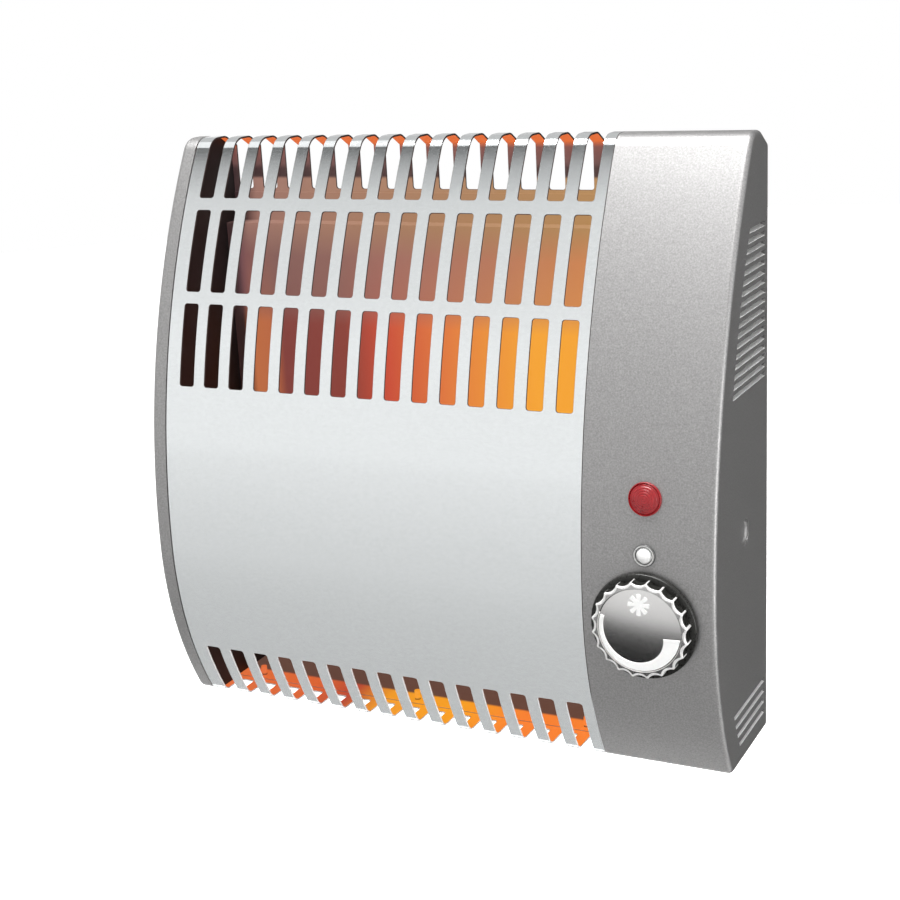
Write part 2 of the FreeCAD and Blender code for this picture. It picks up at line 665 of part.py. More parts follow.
def square_neck(sketch, u, v, clearance):
    """The rounded square of the inlet bush neck, or of its hole with a clearance."""
    half = f"(gland_neck + {clearance})"
    rounded_slot(
        sketch, f"{u} - {half}", f"{u} + {half}", f"{v} - {half}", f"{v} + {half}",
        f"gland_corner + {clearance}",
    )


def control_shell():
    """The moulded control cheek before its louvres are cut."""
    body = new_body("control_shell")
    sketch = new_sketch(body, "YZ", "x_grille_right")
    side_profile(sketch, "0")
    pad(body, sketch, "control_cap_width")
    edge_x = size("x_right")
    round_edges(body, lambda edge: at_x(edge, edge_x) and edge.BoundBox.YMin < -1, "right_edge_radius")
    sketch = new_sketch(body, "YZ", "x_grille_right - lip")
    side_profile(sketch, "skin")
    pad(body, sketch, "lip + wall")
    sketch = new_sketch(body, "YZ", "x_right - wall")
    side_profile(sketch, "wall")
    pocket(body, sketch)
    # Screw post through to the bulkhead
    sketch = new_sketch(body, "YZ", "x_right_plate")
    circle(sketch, "-post_depth", "z_post", "post_radius")
    pad(body, sketch, "x_right - x_right_plate - wall / 2")
    sketch = new_sketch(body, "YZ", "x_right_floor")
    circle(sketch, "-post_depth", "z_post", "counterbore")
    pocket(body, sketch, along=True)
    sketch = new_sketch(body, "YZ", "x_right_plate")
    circle(sketch, "-post_depth", "z_post", "cap_screw_shank + fixing_fit")
    pocket(body, sketch, along=True)
    # Thermostat seat and the flat under the knob
    sketch = new_sketch(body, "XZ", "seat_back")
    circle(sketch, "x_control", "z_knob", "seat_radius + 2")
    pad(body, sketch, "seat_thickness")
    sketch = new_sketch(body, "XZ", "seat_front")
    circle(sketch, "x_control", "z_knob", "seat_radius")
    pocket(body, sketch, along=True)
    sketch = new_sketch(body, "XZ", "seat_back - 1")
    circle(sketch, "x_control", "z_knob", "spindle_radius + 1")
    for side in ("-", "+"):
        circle(sketch, f"x_control {side} fixing_spacing / 2", "z_knob", "fixing_radius + fixing_fit")
    pocket(body, sketch, along=True)
    # Cord clamp seat and inlet
    sketch = new_sketch(body, "XZ", "wall / 2")
    rectangle(
        sketch, "x_control - clamp_length / 2", "x_control + clamp_length / 2",
        "z_clamp - clamp_width / 2", "z_clamp + clamp_width / 2",
    )
    pad(body, sketch, "clamp_seat - wall / 2")
    sketch = new_sketch(body, "XZ", "clamp_seat")
    for side in ("-", "+"):
        circle(sketch, f"x_control {side} clamp_arm", "z_clamp", "small_shank + fixing_fit")
    pocket(body, sketch, "clamp_seat - 1")
    sketch = new_sketch(body, "XY", "z_bottom + wall + 1")
    square_neck(sketch, "x_control", "-gland_depth", "press_fit")
    pocket(body, sketch)
    # Lamp and index holes, square to the front
    for name, radius in (("lamp", "lens_barrel"), ("index", "stud_barrel")):
        hole = body.newObject("PartDesign::SubtractiveCylinder", "Hole_" + name)
        bind(hole, "Radius", f"{radius} + press_fit")
        bind(hole, "Height", "2 * hole_reach")
        angle = size(f"asin({name}_sine)")
        hole.Placement = Placement(Vector(0, 0, 0), Rotation(Vector(1, 0, 0), 90 - angle))
        bind(hole, "Placement.Rotation.Angle", f"90 - asin({name}_sine) / 1 deg")
        rear = f"-({name}_face - hole_reach * {name}_cosine)"
        place(hole, "x_control", rear, f"z_{name} - hole_reach * {name}_sine")
        settle(hole)
    return body


def louvre_cutter(label, first, count, pitch, up):
    """A stack of louvre openings: each has a flat top and a sill that falls to the outside."""
    body = new_body(label)
    sketch = new_sketch(body, "XZ", "louvre_rear")
    top = f"{first} + louvre_height / 2"
    sill = f"{first} - louvre_height / 2"
    polygon(sketch, [
        ("x_right - wall - 1", sill), ("x_right - wall", sill),
        ("x_right + 1", f"{sill} - louvre_slope * (wall + 1) / wall"),
        ("x_right + 1", top), ("x_right - wall - 1", top),
    ])
    bar = pad(body, sketch, "depth")
    pattern = row(body, [bar], "Z_Axis", count, f"({count} - 1) * {pitch}")
    pattern.Reversed = not up
    settle(pattern)
    return body


def louvre_field():
    """The region that the louvres fill: it ends in front at a fixed distance behind the casing's front."""
    body = new_body("louvre_field")
    sketch = new_sketch(body, "YZ", "x_right - 2 * wall")
    upper = Vector(size("upper_radius - depth"), size("z_belly"), 0)
    lower = Vector(size("lower_radius - depth"), size("z_belly"), 0)
    upper_r = size("upper_radius - louvre_inset")
    lower_r = size("lower_radius - louvre_inset")
    top = size("z_top - crest_radius")
    low = size("z_bottom")
    belly = Vector(size("louvre_inset - depth"), upper.y, 0)
    high_end = Vector(upper.x - (upper_r**2 - (top - upper.y) ** 2) ** 0.5, top, 0)
    low_end = Vector(lower.x - (lower_r**2 - (low - lower.y) ** 2) ** 0.5, low, 0)
    front = arc(sketch, upper, upper_r, high_end, belly)
    below = arc(sketch, lower, lower_r, belly, low_end)
    under = sketch.addGeometry(Part.LineSegment(low_end, Vector(0, low, 0)))
    back = sketch.addGeometry(Part.LineSegment(Vector(0, low, 0), Vector(0, top, 0)))
    over = sketch.addGeometry(Part.LineSegment(Vector(0, top, 0), high_end))
    rule(sketch, "Tangent", front, 2, below, 1)
    for one, other in ((below, under), (under, back), (back, over), (over, front)):
        rule(sketch, "Coincident", one, 2, other, 1)
    rule(sketch, "Horizontal", under)
    rule(sketch, "Horizontal", over)
    rule(sketch, "Vertical", back)
    pin(sketch, front, 2, "louvre_inset - depth", "z_belly")
    measure(sketch, "DistanceY", (-1, 1, front, 3), "z_belly")
    measure(sketch, "Radius", (front,), "upper_radius - louvre_inset")
    measure(sketch, "Radius", (below,), "lower_radius - louvre_inset")
    pin(sketch, back, 1, "0", "z_bottom")
    measure(sketch, "DistanceY", (-1, 1, back, 2), "z_top - crest_radius")
    pad(body, sketch, "4 * wall")
    return body


def control_end_cap():
    shell = control_shell()
    stacks = doc.addObject("Part::Compound", "LouvreStacks")
    stacks.Links = [
        louvre_cutter("upper_louvres", "z_upper_louvre", "upper_count", "upper_pitch", False),
        louvre_cutter("lower_louvres", "z_lower_louvre", "lower_count", "lower_pitch", True),
    ]
    openings = doc.addObject("Part::Common", "LouvreOpenings")
    openings.Base = stacks
    openings.Tool = louvre_field()
    cap = doc.addObject("Part::Cut", "ControlCap")
    cap.Label = "control_end_cap"
    cap.Base = shell
    cap.Tool = openings
    settle(cap)
    if not cap.Shape.Volume < shell.Shape.Volume - 100:
        raise RuntimeError("the louvres cut nothing")
    return cap


def bulkhead(label, start, flange_start):
    """A flat end wall of the heating chamber, with a flange welded to the back panel."""
    body = new_body(label)
    sketch = new_sketch(body, "YZ", start)
    side_profile(sketch, "skin")
    pad(body, sketch, "plate")
    sketch = new_sketch(body, "XZ", "sheet")
    rectangle(
        sketch, flange_start, f"{flange_start} + weld_flange + plate",
        "z_reflector_low + flange_inset", "z_reflector_high - flange_inset",
    )
    pad(body, sketch, "plate")
    sketch = new_sketch(body, "YZ", start)
    circle(sketch, "-post_depth", "z_post", "cap_screw_shank + fixing_fit")
    pocket(body, sketch, "plate", along=True)
    return body


def right_bulkhead():
    body = bulkhead("right_bulkhead", "x_chamber_right", "x_chamber_right - weld_flange")
    sketch = new_sketch(body, "YZ", "x_chamber_right")
    for side in ("-", "+"):
        circle(sketch, "-element_depth", f"z_element {side} element_half", "bush_radius + press_fit")
    circle(sketch, "-cutout_depth", "z_cutout", "cutout_radius - cutout_land")
    for side in ("-", "+"):
        circle(sketch, "-cutout_depth", f"z_cutout {side} cutout_arm", "small_shank + fixing_fit")
    circle(sketch, "-earth_depth", "z_earth", "small_shank + fixing_fit")
    pocket(body, sketch, "plate", along=True)
    return body


# Heating element
def reflector():
    """A bright sheet in front of the back panel, bent back to it above and below."""
    body = new_body("reflector")
    sketch = new_sketch(body, "YZ", "x_chamber_left + fit")
    rear = "-sheet"
    inner = "-reflector_depth"
    outer = "-reflector_depth - reflector_sheet"
    polygon(sketch, [
        (rear, "z_reflector_low"), (outer, "z_reflector_low"), (outer, "z_reflector_high"),
        (rear, "z_reflector_high"), (rear, "z_reflector_high - reflector_sheet"),
        (inner, "z_reflector_high - reflector_sheet"), (inner, "z_reflector_low + reflector_sheet"),
        (rear, "z_reflector_low + reflector_sheet"),
    ])
    pad(body, sketch, "x_chamber_right - x_chamber_left - 2 * fit")
    return body


def element_tube():
    """Two straight passes joined by a half turn at the left."""
    body = new_body("element_tube")
    sketch = new_sketch(body, "YZ", "x_bend")
    for side in ("-", "+"):
        circle(sketch, "-element_depth", f"z_element {side} element_half", "tube_radius")
    pad(body, sketch, "x_tube_end - x_bend")
    sketch = new_sketch(body, "YZ", "x_bend")
    circle(sketch, "-element_depth", "z_element + element_half", "tube_radius")
    middle = size("z_element")
    half = size("element_half")
    axis = sketch.addGeometry(Part.LineSegment(Vector(-half, middle, 0), Vector(half, middle, 0)), True)
    rule(sketch, "Horizontal", axis)
    pin(sketch, axis, 1, "-element_half", "z_element")
    measure(sketch, "DistanceX", (-1, 1, axis, 2), "element_half")
    turn = body.newObject("PartDesign::Revolution", "Bend")
    turn.Profile = sketch
    turn.ReferenceAxis = (sketch, ["Axis0"])
    turn.Angle = 180
    settle(turn)
    if body.Shape.BoundBox.XMin > size("x_bend - element_half"):
        turn.Reversed = True
        settle(turn)
    return body


def element_fins():
    body = new_body("element_fins")
    sketch = new_sketch(body, "YZ", "x_first_fin")
    rectangle(
        sketch, "-element_depth - fin_depth / 2", "-element_depth + fin_depth / 2",
        "z_element - fin_height / 2", "z_element + fin_height / 2",
    )
    for side in ("-", "+"):
        circle(sketch, "-element_depth", f"z_element {side} element_half", "tube_radius + tube_fit")
    fin = pad(body, sketch, "fin_sheet")
    row(body, [fin], "X_Axis", "fin_count", "fin_span")
    return body


def element_support():
    """A bent plate on the reflector with a hole for each tube."""
    body = new_body("element_support")
    sketch = new_sketch(body, "YZ", "x_support")
    front = "-element_depth - tube_radius - support_margin"
    rear = "-reflector_depth - reflector_sheet"
    low = "z_element - element_half - tube_radius - support_margin"
    high = "z_element + element_half + tube_radius + support_margin"
    rectangle(sketch, front, rear, low, high)
    for side in ("-", "+"):
        circle(sketch, "-element_depth", f"z_element {side} element_half", "tube_radius + tube_fit")
    pad(body, sketch, "support_sheet")
    sketch = new_sketch(body, "XZ", "reflector_depth + reflector_sheet")
    rectangle(sketch, "x_support - support_foot", "x_support + support_sheet", low, high)
    pad(body, sketch, "support_sheet")
    return body


def element_bushes():
    body = new_body("element_bushes")
    bore = "tube_radius + tube_fit"
    tail = "-plate - bush_tail"
    turned = spin(body, [
        (bore, tail), ("bush_radius", tail), ("bush_radius", "0"), ("bush_flange", "0"),
        ("bush_flange", "bush_head"), (bore, "bush_head"),
    ])
    row(body, [turned], "X_Axis", "2", "2 * element_half")
    return place(body, "x_right_plate", "-element_depth", "z_element + element_half", TO_RIGHT)


def element_terminals():
    body = new_body("element_terminals")
    turned = spin(body, [
        ("0", "0"), ("tube_radius * 0.8", "0"), ("tube_radius * 0.8", "bead_length"),
        ("pin_radius", "bead_length"), ("pin_radius", "pin_length"), ("0", "pin_length"),
    ])
    row(body, [turned], "X_Axis", "2", "2 * element_half")
    return place(body, "x_tube_end", "-element_depth", "z_element + element_half", TO_RIGHT)


# Controls
def d_shape(sketch, radius, flat):
    """A circle about the origin with one flat."""
    r = size(radius)
    f = size(flat)
    half = (r * r - f * f) ** 0.5
    centre = Vector(0, 0, 0)
    round_line = arc(sketch, centre, r, Vector(-half, f, 0), Vector(half, f, 0))
    straight = sketch.addGeometry(Part.LineSegment(Vector(half, f, 0), Vector(-half, f, 0)))
    rule(sketch, "Coincident", round_line, 3, -1, 1)
    rule(sketch, "Coincident", round_line, 2, straight, 1)
    rule(sketch, "Coincident", straight, 2, round_line, 1)
    rule(sketch, "Horizontal", straight)
    measure(sketch, "Radius", (round_line,), radius)
    measure(sketch, "DistanceY", (-1, 1, straight, 1), flat)


def control_knob():
    """A hollow fluted knob with a round skirt and a hub; its own Z axis points to the front."""
    body = new_body("control_knob")
    sketch = new_sketch(body, "XY")
    circle(sketch, "0", "0", "knob_radius")
    pad(body, sketch, "knob_height")
    top = size("knob_height")
    round_edges(body, lambda edge: edge.BoundBox.ZMin > top - 1e-4, "knob_edge")
    sketch = new_sketch(body, "XY", "skirt_height")
    circle(sketch, "0", "knob_radius + flute_radius - flute_depth", "flute_radius")
    flute = pocket(body, sketch, along=True)
    ring = body.newObject("PartDesign::PolarPattern", "Flutes")
    ring.Originals = [flute]
    ring.Axis = (origin_item(body, "Z_Axis"), [""])
    ring.Angle = 360
    bind(ring, "Occurrences", "flute_count")
    body.Tip = ring
    settle(ring)
    sketch = new_sketch(body, "XY")
    circle(sketch, "0", "0", "skirt_radius")
    pad(body, sketch, "skirt_height")
    level = size("skirt_height")
    reach = size("skirt_radius")
    round_edges(
        body, lambda edge: abs(edge.BoundBox.ZMin - level) < 1e-4 and edge.BoundBox.XMax > reach - 1e-3, "knob_edge",
    )
    sketch = new_sketch(body, "XY")
    circle(sketch, "0", "0", "knob_radius - flute_depth - knob_face")
    pocket(body, sketch, "knob_height - knob_face", along=True)
    sketch = new_sketch(body, "XY")
    circle(sketch, "0", "0", "hub_radius")
    pad(body, sketch, "knob_height - knob_face / 2")
    sketch = new_sketch(body, "XY")
    d_shape(sketch, "spindle_radius + spindle_fit", "spindle_flat + spindle_fit")
    pocket(body, sketch, "knob_height - knob_face", along=True)
    return place(body, "x_control", "-knob_back", "z_knob", TO_FRONT)


def thermostat_spindle():
    body = new_body("thermostat_spindle")
    sketch = new_sketch(body, "XY", "seat_back - spindle_depth - knob_back")
    circle(sketch, "0", "0", "spindle_radius")
    pad(body, sketch, "knob_back - seat_back + spindle_depth")
    sketch = new_sketch(body, "XY")
    d_shape(sketch, "spindle_radius", "spindle_flat")
    pad(body, sketch, "knob_height - knob_face - 0.5")
    return place(body, "x_control", "-knob_back", "z_knob", TO_FRONT)


def thermostat_body():
    body = new_body("thermostat_body")
    sketch = new_sketch(body, "XZ", "thermostat_rear")
    rectangle(
        sketch, "x_control - thermostat_width / 2", "x_control + thermostat_width / 2",
        "z_knob - thermostat_height / 2", "z_knob + thermostat_height / 2",
    )
    pad(body, sketch, "thermostat_depth")
    sketch = new_sketch(body, "XZ", "seat_back")
    circle(sketch, "x_control", "z_knob", "spindle_radius + spindle_fit")
    pocket(body, sketch, "spindle_depth + spindle_end")
    sketch = new_sketch(body, "XZ", "seat_back")
    for side in ("-", "+"):
        circle(sketch, f"x_control {side} fixing_spacing / 2", "z_knob", "fixing_radius + fixing_fit / 2")
    pocket(body, sketch, "fixing_grip + spindle_end")
    sketch = new_sketch(body, "XZ", "thermostat_rear")
    for side in ("-", "+"):
        middle = f"x_control {side} tab_offset"
        rectangle(
            sketch, f"{middle} - tab_sheet / 2", f"{middle} + tab_sheet / 2",
            "z_knob - tab_width / 2", "z_knob + tab_width / 2",
        )
    pad(body, sketch, "tab_length", reverse=True)
    return body


def thermostat_screws():
    length = "seat_thickness + fixing_grip"
    body = screw("thermostat_screws", "fixing_head", "fixing_height", "fixing_radius", length)
    row(body, [body.Tip], "X_Axis", "2", "fixing_spacing")
    return place(body, "x_control - fixing_spacing / 2", "-seat_front", "z_knob", TO_FRONT)


def square_on(body, name):
    """Puts a turned piece on the front, square to it, at the lamp or the index height."""
    angle = size(f"asin({name}_sine)")
    place(body, "x_control", f"-{name}_face", f"z_{name}", Rotation(Vector(1, 0, 0), 90 - angle))
    bind(body, "Placement.Rotation.Angle", f"90 - asin({name}_sine) / 1 deg")
    return body


def indicator_lens():
    body = new_body("indicator_lens")
    spin(body, [
        ("0", "-lens_length"), ("lens_barrel", "-lens_length"), ("lens_barrel", "0"), ("lens_radius", "0"),
        ("lens_radius", "lens_rim"), ("lens_radius - lens_edge", "lens_crown * 0.6"),
        ("lens_radius * 0.55", "lens_crown * 0.88"), ("0", "lens_crown"),
    ])
    return square_on(body, "lamp")


def indicator_lamp():
    """The neon in its holder, with two wire tails, behind the lens."""
    body = new_body("indicator_lamp")
    holder = "lens_barrel - lens_edge"
    end = "-lens_length - lamp_length"
    spin(body, [("0", end), (holder, end), (holder, "-lens_length"), ("0", "-lens_length")])
    sketch = new_sketch(body, "XY", "-lamp_end")
    for side in ("-", "+"):
        circle(sketch, f"{side}tail_offset", "0", "tail_radius")
    pad(body, sketch, "tail_length + 2 * tail_radius")
    return square_on(body, "lamp")


def index_stud():
    body = new_body("index_stud")
    spin(body, [
        ("0", "-stud_length"), ("stud_barrel", "-stud_length"), ("stud_barrel", "0"), ("stud_radius", "0"),
        ("stud_radius", "ring_height * 0.7"), ("stud_radius - ring_width * 0.4", "ring_height"),
        ("stud_radius - ring_width", "ring_height"), ("stud_radius - ring_width * 1.3", "ring_height / 2"),
        ("stud_radius - ring_width * 1.6", "ring_height / 2"),
        ("stud_radius - ring_width * 2", "stud_crown * 0.65"),
        ("stud_radius - ring_width * 3.1", "stud_crown * 0.91"), ("0", "stud_crown"),
    ])
    return square_on(body, "index")


# Electrical parts in the control cheek
def thermal_cutout():
    """A disc thermostat on a flange plate with two push-on tabs; its own Z axis points to the right."""
    body = new_body("thermal_cutout")
    spin(body, [
        ("0", "0"), ("cutout_radius", "0"), ("cutout_radius", "cutout_height * 0.67"),
        ("cutout_radius * 0.81", "cutout_height"), ("0", "cutout_height"),
    ])
    sketch = new_sketch(body, "XY")
    ear = "cutout_arm + small_head + fixing_fit"
    rectangle(sketch, f"-({ear})", ear, "-cutout_ear", "cutout_ear")
    for side in ("-", "+"):
        circle(sketch, f"{side}cutout_arm", "0", "small_shank + fixing_fit")
    pad(body, sketch, "cutout_plate")
    sketch = new_sketch(body, "XY", "cutout_height")
    for side in ("-", "+"):
        middle = f"{side}cutout_tab"
        rectangle(
            sketch, f"{middle} - tab_sheet / 2", f"{middle} + tab_sheet / 2",
            "-tab_width / 2", "tab_width / 2",
        )
    pad(body, sketch, "tab_length")
    return place(body, "x_right_plate", "-cutout_depth", "z_cutout", TO_RIGHT)


def cutout_screws():
    length = "cutout_plate + cutout_screw"
    body = screw("cutout_screws", "small_head", "small_height", "small_shank", length)
    row(body, [body.Tip], "X_Axis", "2", "2 * cutout_arm")
    return place(body, "x_right_plate + cutout_plate", "-cutout_depth", "z_cutout + cutout_arm", TO_RIGHT)


def terminal_block():
    """Three poles on the rear wall of the control cheek, wired from above and below, screws to the front."""
    body = new_body("terminal_block")
    half = "1.5 * pole_pitch"
    sketch = new_sketch(body, "XZ", "wall")
    rectangle(
        sketch, f"x_control - {half}", f"x_control + {half}",
        "z_block - block_height / 2", "z_block + block_height / 2",
    )
    pad(body, sketch, "block_depth")
    cuts = []
    for level in ("z_block - screw_row", "z_block + screw_row"):
        sketch = new_sketch(body, "XZ", "block_front")
        circle(sketch, "x_control - pole_pitch", level, "small_head + pole_fit")
        cuts.append(pocket(body, sketch, "pole_recess"))
        sketch = new_sketch(body, "XZ", "block_front - pole_recess")
        circle(sketch, "x_control - pole_pitch", level, "small_shank + press_fit")
        cuts.append(pocket(body, sketch, "pole_grip"))
    row(body, cuts, "X_Axis", "3", "2 * pole_pitch")
    return body


def terminal_screws():
    body = screw("terminal_screws", "small_head", "small_height", "small_shank", "pole_grip")
    single = body.Tip
    across = row(body, [single], "X_Axis", "3", "2 * pole_pitch")
    across.Direction2 = (origin_item(body, "Y_Axis"), [""])
    across.Occurrences2 = 2
    bind(across, "Length2", "2 * screw_row")
    settle(across)
    seat = "-(block_front - pole_recess)"
    return place(body, "x_control - pole_pitch", seat, "z_block - screw_row", TO_FRONT)


def cable_gland():
    """A rubber bush with a round flange and lip, and a square neck that keeps it from turning."""
    body = new_body("cable_gland")
    spin(body, [
        ("gland_bore", "-gland_head"), ("gland_flange - gland_edge", "-gland_head"),
        ("gland_flange", "gland_edge - gland_head"), ("gland_flange", "0"), ("gland_neck", "0"),
        ("gland_neck", "wall"), ("gland_neck + gland_snap", "wall"),
        ("gland_neck + gland_snap * 0.67", "wall + gland_lip"), ("gland_bore", "wall + gland_lip"),
    ])
    sketch = new_sketch(body, "XY")
    square_neck(sketch, "0", "0", "0")
    circle(sketch, "0", "0", "gland_bore")
    pad(body, sketch, "wall")
    return place(body, "x_control", "-gland_depth", "z_bottom", Rotation())


def cord_clamp():
    """A saddle over the cord's way, its two feet on the seat."""
    body = new_body("cord_clamp")
    sketch = new_sketch(body, "XY", "z_clamp - clamp_width / 2")
    left = "x_control - clamp_length / 2"
    right = "x_control + clamp_length / 2"
    under = "-clamp_seat - clamp_gap"
    polygon(sketch, [
        (left, "-clamp_seat"), (left, "-clamp_front"), (right, "-clamp_front"), (right, "-clamp_seat"),
        (f"{right} - clamp_foot", "-clamp_seat"), (f"{right} - clamp_foot", under),
        (f"{left} + clamp_foot", under), (f"{left} + clamp_foot", "-clamp_seat"),
    ])
    pad(body, sketch, "clamp_width")
    sketch = new_sketch(body, "XZ", "clamp_seat - 1")
    for side in ("-", "+"):
        circle(sketch, f"x_control {side} clamp_arm", "z_clamp", "small_shank + fixing_fit")
    pocket(body, sketch, along=True)
    return body


def cord_clamp_screws():
    body = screw("cord_clamp_screws", "small_head", "small_height", "small_shank", "clamp_front - 2")
    row(body, [body.Tip], "X_Axis", "2", "2 * clamp_arm")
    return place(body, "x_control - clamp_arm", "-clamp_front", "z_clamp", TO_FRONT)


# Fasteners
def cap_screws():
    length = "post_floor + plate + cap_screw_grip"
    left = screw("left_cap_screw", "cap_screw_head", "cap_screw_height", "cap_screw_shank", length)
    place(left, "x_left_floor", "-post_depth", "z_post", TO_LEFT)
    right = screw("right_cap_screw", "cap_screw_head", "cap_screw_height", "cap_screw_shank", length)
    place(right, "x_right_floor", "-post_depth", "z_post", TO_RIGHT)
    return group("cap_screws", [left, right])


def plug(label, x, rotation):
    body = new_body(label)
    rim = "counterbore - press_fit"
    spin(body, [
        ("0", "-plug_thickness"), (rim, "-plug_thickness"), (rim, "0"), (f"{rim} - plug_rim", "0"),
        (f"{rim} - plug_rim * 1.7", "-plug_dish * 0.73"), ("0", "-plug_dish"),
    ])
    return place(body, x, "-post_depth", "z_post", rotation)


def screw_plugs():
    left = plug("left_plug", "x_left + plug_sink", TO_LEFT)
    right = plug("right_plug", "x_right - plug_sink", TO_RIGHT)
    return group("screw_plugs", [left, right])


def grille_screws():
    body = screw("grille_screws", "small_head", "small_height", "small_shank", "grille_screw")
    row(body, [body.Tip], "X_Axis", "3", "screw_span")
    return place(body, "x_first_screw", "-screw_depth", "z_bottom", DOWN)


def earth_screw():
    body = screw("earth_screw", "small_head", "small_height", "small_shank", "earth_length")
    return place(body, "x_right_plate", "-earth_depth", "z_earth", TO_RIGHT)


# Leads inside the control cheek
def lead(points):
    """A round lead along straight runs, bent at each inner point. Points are (x, depth, z) expressions."""
    spots = [Vector(size(x), -size(b), size(z)) for x, b, z in points]
    edges = []
    start = spots[0]
    for before, here, after in zip(spots, spots[1:], spots[2:]):
        back = (before - here).normalize()
        ahead = (after - here).normalize()
        run = min((before - here).Length, (after - here).Length) * 0.45
        run = min(run, 5)
        near = here + back * run
        far = here + ahead * run
        half = back.getAngle(ahead) / 2
        bisector = (back + ahead).normalize()
        radius = run * math.tan(half)
        middle = here + bisector * (run / math.cos(half) - radius)
        edges.append(Part.LineSegment(start, near).toShape())
        edges.append(Part.Arc(near, middle, far).toShape())
        start = far
    edges.append(Part.LineSegment(start, spots[-1]).toShape())
    ring = Part.Circle(spots[0], spots[1] - spots[0], size("lead_radius")).toShape()
    return Part.Wire(edges).makePipeShell([Part.Wire([ring])], True, False)


def leads(label, routes):
    item = doc.addObject("Part::Feature", "Leads_" + label)
    item.Label = label
    shapes = [lead(route) for route in routes]
    item.Shape = shapes[0] if len(shapes) == 1 else Part.makeCompound(shapes)
    item.Placement = Placement()
    return item


BLOCK_TOP = ("wall + block_depth / 2", "z_block + block_height / 2")
TAB_END = ("thermostat_rear - tab_length", "z_knob")
CUTOUT_END = "x_right_plate + cutout_height + tab_length"
PIN_END = "x_tube_end + pin_length"
TAIL = ("lamp_face - (lamp_end + 0.6) * lamp_cosine", "z_lamp - (lamp_end + 0.6) * lamp_sine")


def live_leads():
    tab_in = "x_control - tab_offset"
    tab_out = "x_control + tab_offset"
    pole = "x_control - pole_pitch"
    lane = "post_depth - post_radius - 8"
    inner = "post_depth - post_radius - 4"
    side = "x_control - 6.6"
    upper_pin = "z_element + element_half"
    edge = "x_right - wall - 5"
    tab_middle = "thermostat_rear - tab_length / 2"
    return leads("live_leads", [
        [
            (pole, *BLOCK_TOP), (pole, BLOCK_TOP[0], "z_knob"), (tab_in, f"{TAB_END[0]} - 9", "z_knob"),
            (tab_in, *TAB_END),
        ],
        [
            (tab_out, *TAB_END), (tab_out, lane, "z_knob"), (tab_out, lane, "z_cutout + cutout_tab"),
            (tab_out, "cutout_depth", "z_cutout + cutout_tab"),
            (CUTOUT_END, "cutout_depth", "z_cutout + cutout_tab"),
        ],
        [
            (CUTOUT_END, "cutout_depth", "z_cutout - cutout_tab"),
            (side, "cutout_depth", "z_cutout - cutout_tab"),
            (side, inner, "z_cutout - 12"), (side, inner, upper_pin), (side, "element_depth", upper_pin),
            (PIN_END, "element_depth", upper_pin),
        ],
        [
            ("x_control + tail_offset", *TAIL), ("x_control + 7", f"{TAIL[0]} - 5", f"{TAIL[1]} - 4"),
            (edge, tab_middle, f"{TAIL[1]} - 4"), (edge, tab_middle, "z_knob"),
            (f"{tab_out} + tab_sheet / 2", tab_middle, "z_knob"),
        ],
    ])


def neutral_leads():
    lower_pin = "z_element - element_half"
    here = "x_control + 1.4"
    there = "x_control - 3.6"
    rise = f"{BLOCK_TOP[1]} + 11"
    return leads("neutral_leads", [
        [
            (here, *BLOCK_TOP), (here, BLOCK_TOP[0], rise), (here, "element_depth", rise),
            (here, "element_depth", lower_pin), (PIN_END, "element_depth", lower_pin),
        ],
        [
            ("x_control - tail_offset", *TAIL), (there, f"{TAIL[0]} - 11", f"{TAIL[1]} - 2"),
            (there, BLOCK_TOP[0], f"{TAIL[1]} - 2"), (there, *BLOCK_TOP),
        ],
    ])


def earth_lead():
    pole = "x_control + pole_pitch"
    rise = f"{BLOCK_TOP[1]} + 9"
    return leads("earth_lead", [
        [
            (pole, *BLOCK_TOP), (pole, BLOCK_TOP[0], rise), (pole, "block_front + 12", rise),
            (pole, "block_front + 12", "z_earth"), (pole, "earth_depth", "z_earth"),
            ("x_right_plate + 2", "earth_depth", "z_earth"),
        ],
    ])


PIECES = (
    front_grille, back_panel, left_end_cap, control_end_cap, right_bulkhead, reflector,
    element_tube, element_fins, element_support, element_bushes, element_terminals,
    control_knob, thermostat_spindle, thermostat_body, thermostat_screws,
    indicator_lens, indicator_lamp, index_stud, thermal_cutout, cutout_screws,
    terminal_block, terminal_screws, cable_gland, cord_clamp, cord_clamp_screws,
    cap_screws, screw_plugs, grille_screws, earth_screw, live_leads, neutral_leads, earth_lead,
)

nodes = [make() for make in PIECES]
nodes.append(bulkhead("left_bulkhead", "x_left_plate", "x_left_plate"))
doc.recompute()

broken = [item.Label for item in doc.Objects if "Invalid" in item.State or "Error" in item.State]
broken += [item.Label for item in nodes if not item.Shape.isValid() or not item.Shape.Solids]
if broken:
    raise RuntimeError("not valid: " + ", ".join(broken))

os.makedirs("parts", exist_ok=True)
for item in nodes:
    item.Shape.exportStep(f"parts/{item.Label}.step")
    print(item.Label, len(item.Shape.Solids), round(item.Shape.Volume, 1))
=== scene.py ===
import math

import bmesh
import bpy
import numpy as np
from bpy.props import FloatProperty, FloatVectorProperty, IntProperty, PointerProperty
from mathutils import Matrix, Vector


